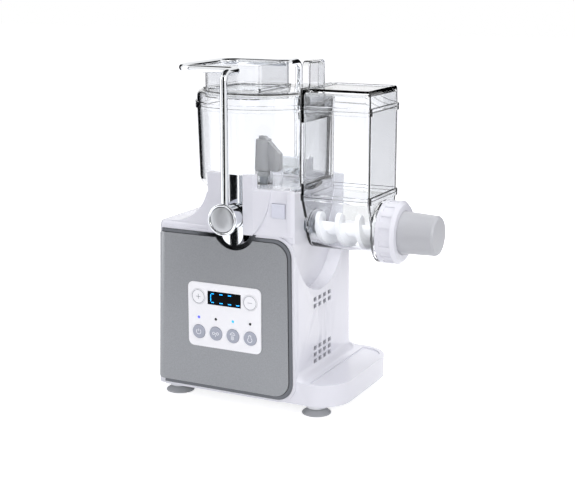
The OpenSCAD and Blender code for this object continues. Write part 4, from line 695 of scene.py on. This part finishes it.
class PASTA_OT_bowl(bpy.types.Operator):
    """Build the kneading bowl, its lid, the filler cup and the paddle"""

    bl_idname = "pasta.bowl"
    bl_label = "Kneading bowl"

    def execute(self, context):
        self.bowl()
        self.lid()
        self.cup()
        dressed("kneading_paddle", "grey", bevel=0.8, segments=3)
        return {"FINISHED"}

    @staticmethod
    def bowl():
        """The D-shaped bowl with its rim, its round bottom edge and the boss for the shaft."""
        t, low = CLEAR_T, BOWL_BASE + BOWL_FILLET
        top = BOWL_RIM - RIM_H
        corner = BOWL_LOW_R - BOWL_FILLET
        inner = BOWL_FLAT - t

        def outline(r, z, flat=BOWL_FLAT):
            return level(d_outline(r, flat), z)

        rings = [outline(BOSS_R - t, BOWL_BASE), outline(corner * FLOOR_SHARE, BOWL_BASE)]
        rings += [outline(x, z) for x, z in arc(corner, low, BOWL_FILLET, -90, 0, 8)]
        rings += [outline(BOWL_R, top), outline(BOWL_R + RIM_OUT, top + RIM_SLOPE),
                  outline(BOWL_R + RIM_OUT, BOWL_RIM), outline(BOWL_R - t, BOWL_RIM, inner)]
        rings += [outline(x, z, inner) for x, z in arc(corner, low, BOWL_FILLET - t, 0, -90, 8)]
        floor = BOWL_BASE + t
        rings += [outline(corner * FLOOR_SHARE, floor), outline(BOSS_R, floor),
                  outline(BOSS_R, BOSS_TOP), outline(BOSS_R - t, BOSS_TOP)]
        bm = skin(rings, closed=True)
        open_through(bm, 0, (inner - 1, -WINDOW_HALF, WINDOW_BASE),
                     (BOWL_FLAT + 1, WINDOW_HALF, WINDOW_TOP))
        finish_piece("bowl", bm, "clear", "kneading_bowl", ["kneading_bowl"], bevel=0.3)

    @staticmethod
    def lid():
        """The flat lid with its round shoulder, the filler cup's hole and the shutter's bay."""
        t, shoulder = CLEAR_T, LID_SHOULDER
        bay = (GRIP_LEFT - GAP, GRIP_HALF + GAP)

        def outside(r, z):
            return level(d_outline(r, BOWL_FLAT, bay), z)

        def inside(r, z):
            return level(d_outline(r, BOWL_FLAT - t, (bay[0] - t, bay[1] + t)), z)

        edge = BOWL_R - shoulder
        hole = rounded(CUP[0] - GAP, CUP[1] + GAP, CUP[2] - GAP, CUP[3] + GAP, (CUP_R,) * 4, 30)
        rings = [inside(BOWL_R - t, LID_BASE), outside(BOWL_R + RIM_OUT, LID_BASE),
                 outside(BOWL_R + RIM_OUT, LID_BASE + RIM_H),
                 outside(BOWL_R, LID_BASE + RIM_H + RIM_SLOPE)]
        rings += [outside(x, z) for x, z in arc(edge, LID_TOP - shoulder, shoulder, 0, 90, 7)]
        rings += [level(hole, LID_TOP), level(hole, LID_TOP - t)]
        rings += [inside(x, z) for x, z in arc(edge, LID_TOP - shoulder, shoulder - t, 90, 0, 7)]
        bm = skin(rings, closed=True)
        finish_piece("bowl_cover", bm, "clear", "bowl_lid", ["bowl_lid"], bevel=0.3)

    @staticmethod
    def cup():
        """The open filler cup with its lip and the slots in its floor."""
        def outline(out, z):
            return level(rounded(CUP[0] - out, CUP[1] + out, CUP[2] - out, CUP[3] + out,
                                 (max(CUP_R + out, 1.0),) * 4), z)

        lip = LID_TOP + GAP
        rings = [outline(-CUP_EDGE, CUP_FLOOR), outline(0, CUP_FLOOR + CUP_EDGE), outline(0, lip),
                 outline(CUP_LIP, lip), outline(CUP_LIP, lip + CUP_T), outline(0, lip + CUP_T),
                 outline(0, CUP_TOP), outline(-CUP_T, CUP_TOP),
                 outline(-CUP_T, CUP_FLOOR + CUP_T + 1), outline(-CUP_T - 1, CUP_FLOOR + CUP_T)]
        bm = skin(rings)
        for i in range(SLOTS):
            x = CUP[0] + SLOT_FIRST + SLOT_PITCH * i
            open_through(bm, 2, (x, -SLOT_HALF, CUP_FLOOR - 1),
                         (x + SLOT_W, SLOT_HALF, CUP_FLOOR + CUP_T + 0.5))
        finish_piece("cup", bm, "clear", "filler_cup", ["filler_cup"], bevel=0.25)


def chamber_ring(out, z):
    """The chamber's outline moved out by a distance; its left side only moves in."""
    left = CHAMBER_LEFT - min(out, 0)
    r = max(CHAMBER_R + out, 0.6)
    y = CHAMBER_HALF + out
    return level(rounded(left, CHAMBER_RIGHT + out, -y, y, (0.8, r, r, 0.8)), z)


class PASTA_OT_chamber(bpy.types.Operator):
    """Build the extrusion chamber, its lid, the shutter, the trough and the auger"""

    bl_idname = "pasta.chamber"
    bl_label = "Extrusion chamber"

    def execute(self, context):
        self.chamber()
        self.lid()
        dressed("transfer_shutter", "clear", bevel=0.5, segments=3)
        dressed("chamber_trough", "clear", bevel=0.35, segments=3)
        dressed("auger", "satin", bevel=0.0)
        return {"FINISHED"}

    @staticmethod
    def chamber():
        """The tall clear box that stands on the trough, with a flange at each end."""
        t = CLEAR_T
        rings = [chamber_ring(-t, SEAM_Z), chamber_ring(RIM_OUT, SEAM_Z),
                 chamber_ring(RIM_OUT, SEAM_Z + RIM_H),
                 chamber_ring(0, SEAM_Z + RIM_H + CHAMBER_SLOPE),
                 chamber_ring(0, CHAMBER_RIM - RIM_H - CHAMBER_SLOPE),
                 chamber_ring(RIM_OUT, CHAMBER_RIM - RIM_H), chamber_ring(RIM_OUT, CHAMBER_RIM),
                 chamber_ring(-t, CHAMBER_RIM)]
        bm = skin(rings, closed=True)
        open_through(bm, 0, (CHAMBER_LEFT - 1, -WINDOW_HALF, WINDOW_BASE),
                     (CHAMBER_LEFT + 4, WINDOW_HALF, WINDOW_TOP))
        finish_piece("chamber", bm, "clear", "chamber_box", ["chamber_box"], bevel=0.25)

    @staticmethod
    def lid():
        """The chamber's lid: a deep cap with a sunken top."""
        t, top, low = CLEAR_T, CHAMBER_LID_TOP, CHAMBER_RIM + GAP
        rings = [chamber_ring(-4.6, top - 1), chamber_ring(-4.0, top), chamber_ring(-2.0, top),
                 chamber_ring(-1.0, top - 0.8), chamber_ring(-0.4, top - 2.5),
                 chamber_ring(0, low + RIM_H + CHAMBER_SLOPE), chamber_ring(RIM_OUT, low + RIM_H),
                 chamber_ring(RIM_OUT, low), chamber_ring(-t, low), chamber_ring(-t, top - 5.5),
                 chamber_ring(-t - 1.6, top - 3.6)]
        finish_piece("chamber_cover", skin(rings), "clear", "chamber_lid", ["chamber_lid"],
                     bevel=0.25)


class PASTA_OT_outlet(bpy.types.Operator):
    """Build the ring nut and the shaping nozzle"""

    bl_idname = "pasta.outlet"
    bl_label = "Outlet"

    def execute(self, context):
        dressed("ring_nut", "shell", bevel=0.8, segments=3)
        dressed("shaping_nozzle", "nozzle", bevel=0.5, segments=3)
        return {"FINISHED"}


BLACK_CARD, BRIGHT_CARD = "Black flocked card", "Bright card"
# Cards: look, angle about the table from the front, distance, width and height in metres, tilt
# upwards, and whether refraction sees it too. Two behind draw the dark rims of the clear walls,
# which the clear finish's painted shade deepens
CARDS = ((BLACK_CARD, 17, 0.5, 0.48, 0.7, 0, False),
         (BLACK_CARD, -114, 0.82, 0.45, 0.7, 0, True),
         (BLACK_CARD, 167, 0.82, 0.45, 0.7, 0, True),
         (BLACK_CARD, -31, 0.5, 0.07, 0.6, 0, False),
         (BLACK_CARD, -46, 0.5, 0.03, 0.6, 0, False),
         (BLACK_CARD, 26, 0.9, 1.0, 0.9, 88, False),
         (BRIGHT_CARD, -66, 0.6, 0.25, 0.7, 0, False))

# Studio lamps: name, place and size in metres, power in watts, and the point that they aim at
STUDIO_LAMPS = (("top", (0.4, 0.0, 1.8), (1.1, 1.1), 17),
                ("key", (1.6, -0.9, 0.9), (0.8, 0.8), 6),
                ("fill", (0.2, -2.0, 0.6), (0.9, 0.9), 9))
STUDIO_AIM = (0, 0, 0.15)
# Strength of the room as a light and as seen, of the floor's white as seen, and the floor's
# half width in metres
ROOM_LIGHT, ROOM_SHOWN, FLOOR_SHOWN, FLOOR_HALF = 0.52, 1.0, 0.7, 6.0

# Camera: place in the datum, turn to the right of the front and pitch down in degrees
CAMERA_AT, CAMERA_TURN, CAMERA_PITCH = (541.6, -1035.8, 410.0), 26.5, 12.5
LENS_MM, SENSOR_MM = 77.76, 36.0


class PASTA_OT_stage(bpy.types.Operator):
    """Set the floor, the lights, the cards and the camera"""

    bl_idname = "pasta.stage"
    bl_label = "Stage"

    def execute(self, context):
        context.scene.view_settings.view_transform = "Standard"
        self.floor(context.scene)
        self.studio(context.scene)
        self.cards(context.scene, self.camera(context.scene))
        return {"FINISHED"}

    @staticmethod
    def floor(scene):
        """A white board that keeps the shadow and shows white elsewhere."""
        bm = bmesh.new()
        bmesh.ops.create_grid(bm, x_segments=1, y_segments=1, size=FLOOR_HALF)
        data = bpy.data.meshes.new("floor")
        bm.to_mesh(data)
        bm.free()
        floor = bpy.data.objects.new("floor", data)
        scene.collection.objects.link(floor)
        made, tree, shader, _ = begin("Matt white board")
        shader.inputs["Base Color"].default_value = (0.8, 0.8, 0.8, 1.0)
        shader.inputs["Roughness"].default_value = 0.9
        shader.inputs["Specular IOR Level"].default_value = 0.0
        shader.inputs["Emission Color"].default_value = (1.0, 1.0, 1.0, 1.0)
        lift = add(tree, "ShaderNodeMapRange", {"To Min": 0.0, "To Max": FLOOR_SHOWN},
                   {"Value": shown_rays(tree)})
        tree.links.new(lift.outputs["Result"], shader.inputs["Emission Strength"])
        data.materials.append(made)

    @staticmethod
    def studio(scene):
        """A white room and three soft lamps."""
        world = bpy.data.worlds.new("Studio")
        scene.world = world
        world.use_nodes = True
        tree = world.node_tree
        tree.nodes.clear()
        shown = shown_rays(tree)
        strength = add(tree, "ShaderNodeMapRange", {"To Min": ROOM_LIGHT, "To Max": ROOM_SHOWN},
                       {"Value": shown})
        # The light of the room is a little cool; the room itself shows white
        sky = add(tree, "ShaderNodeMix",
                  {"data_type": "RGBA", 6: linear("#f3f3fd"), 7: (1, 1, 1, 1)},
                  {0: shown})
        back = add(tree, "ShaderNodeBackground", None,
                   {"Strength": strength.outputs["Result"], "Color": sky.outputs[2]})
        add(tree, "ShaderNodeOutputWorld", None, {"Surface": back.outputs[0]})
        for name, spot, size, watts in STUDIO_LAMPS:
            lamp = bpy.data.lights.new(name, "AREA")
            lamp.energy = watts
            lamp.shape = "RECTANGLE"
            lamp.size, lamp.size_y = size
            holder = bpy.data.objects.new(name, lamp)
            scene.collection.objects.link(holder)
            holder.location = spot
            aim = Vector(STUDIO_AIM) - Vector(spot)
            holder.rotation_euler = aim.to_track_quat("-Z", "Y").to_euler()

    @staticmethod
    def cards(scene, camera):
        """Cards that only reflections and refraction see; they move round with the camera."""
        looks = {}
        for look, tint, glow in ((BLACK_CARD, "#101113", 0.0), (BRIGHT_CARD, "#f4f4f4", 1.8)):
            made, _, shader, _ = begin(look)
            shader.inputs["Base Color"].default_value = linear(tint)
            shader.inputs["Roughness"].default_value = 1.0
            shader.inputs["Specular IOR Level"].default_value = 0.0
            shader.inputs["Emission Color"].default_value = (1, 1, 1, 1)
            shader.inputs["Emission Strength"].default_value = glow
            looks[look] = made
        for i, (look, turn, away, width, high, tilt, through) in enumerate(CARDS):
            bm = bmesh.new()
            bmesh.ops.create_grid(bm, x_segments=1, y_segments=1, size=0.5)
            bmesh.ops.transform(bm, verts=bm.verts, matrix=(
                Matrix.Rotation(radians(turn), 4, "Z") @ Matrix.Rotation(radians(-tilt), 4, "X")
                @ Matrix.Translation((0, -away, 0 if tilt else high / 2))
                @ Matrix.Rotation(pi / 2, 4, "X") @ Matrix.Diagonal((width, high, 1, 1))))
            data = bpy.data.meshes.new(f"card_{i}")
            bm.to_mesh(data)
            bm.free()
            data.materials.append(looks[look])
            card = bpy.data.objects.new(f"card_{i}", data)
            scene.collection.objects.link(card)
            card.parent = camera
            card.matrix_parent_inverse = camera.matrix_basis.inverted()
            card.visible_camera = card.visible_diffuse = card.visible_shadow = False
            card.visible_transmission = through

    @staticmethod
    def camera(scene):
        """A long lens, to the right of the front and a little above the lid."""
        lens = bpy.data.cameras.new("camera")
        lens.sensor_width = SENSOR_MM
        lens.lens = LENS_MM
        camera = bpy.data.objects.new("camera", lens)
        scene.collection.objects.link(camera)
        camera.location = (Vector(CAMERA_AT) - ORIGIN) * MM
        camera.rotation_euler = (radians(90 - CAMERA_PITCH), 0, radians(CAMERA_TURN))
        scene.camera = camera
        return camera


STEPS = (PASTA_OT_frame, PASTA_OT_housing, PASTA_OT_controls, PASTA_OT_bail, PASTA_OT_bowl,
         PASTA_OT_chamber, PASTA_OT_outlet, PASTA_OT_stage)


class PASTA_PT_panel(bpy.types.Panel):
    """Lists the settings and the steps in the sidebar"""

    bl_label = "Pasta Maker"
    bl_idname = "PASTA_PT_panel"
    bl_space_type = "VIEW_3D"
    bl_region_type = "UI"
    bl_category = "Pasta Maker"

    def draw(self, context):
        for group in (context.scene.pasta_colours, context.scene.pasta_sizes):
            for name in group.__annotations__:
                self.layout.prop(group, name)
        for step in STEPS:
            self.layout.operator(step.bl_idname)


CLASSES = (PastaMakerColours, PastaMakerSizes, *STEPS, PASTA_PT_panel)


def register():
    """Registers every class and the settings."""
    for cls in CLASSES:
        bpy.utils.register_class(cls)
    bpy.types.Scene.pasta_colours = PointerProperty(type=PastaMakerColours)
    bpy.types.Scene.pasta_sizes = PointerProperty(type=PastaMakerSizes)


def unregister():
    """Removes the settings and every class."""
    del bpy.types.Scene.pasta_sizes
    del bpy.types.Scene.pasta_colours
    for cls in reversed(CLASSES):
        bpy.utils.unregister_class(cls)


def main():
    """Builds the pasta maker and its stage."""
    register()
    for step in STEPS:
        group, verb = step.bl_idname.split(".")
        getattr(getattr(bpy.ops, group), verb)()


if __name__ == "__main__":
    main()
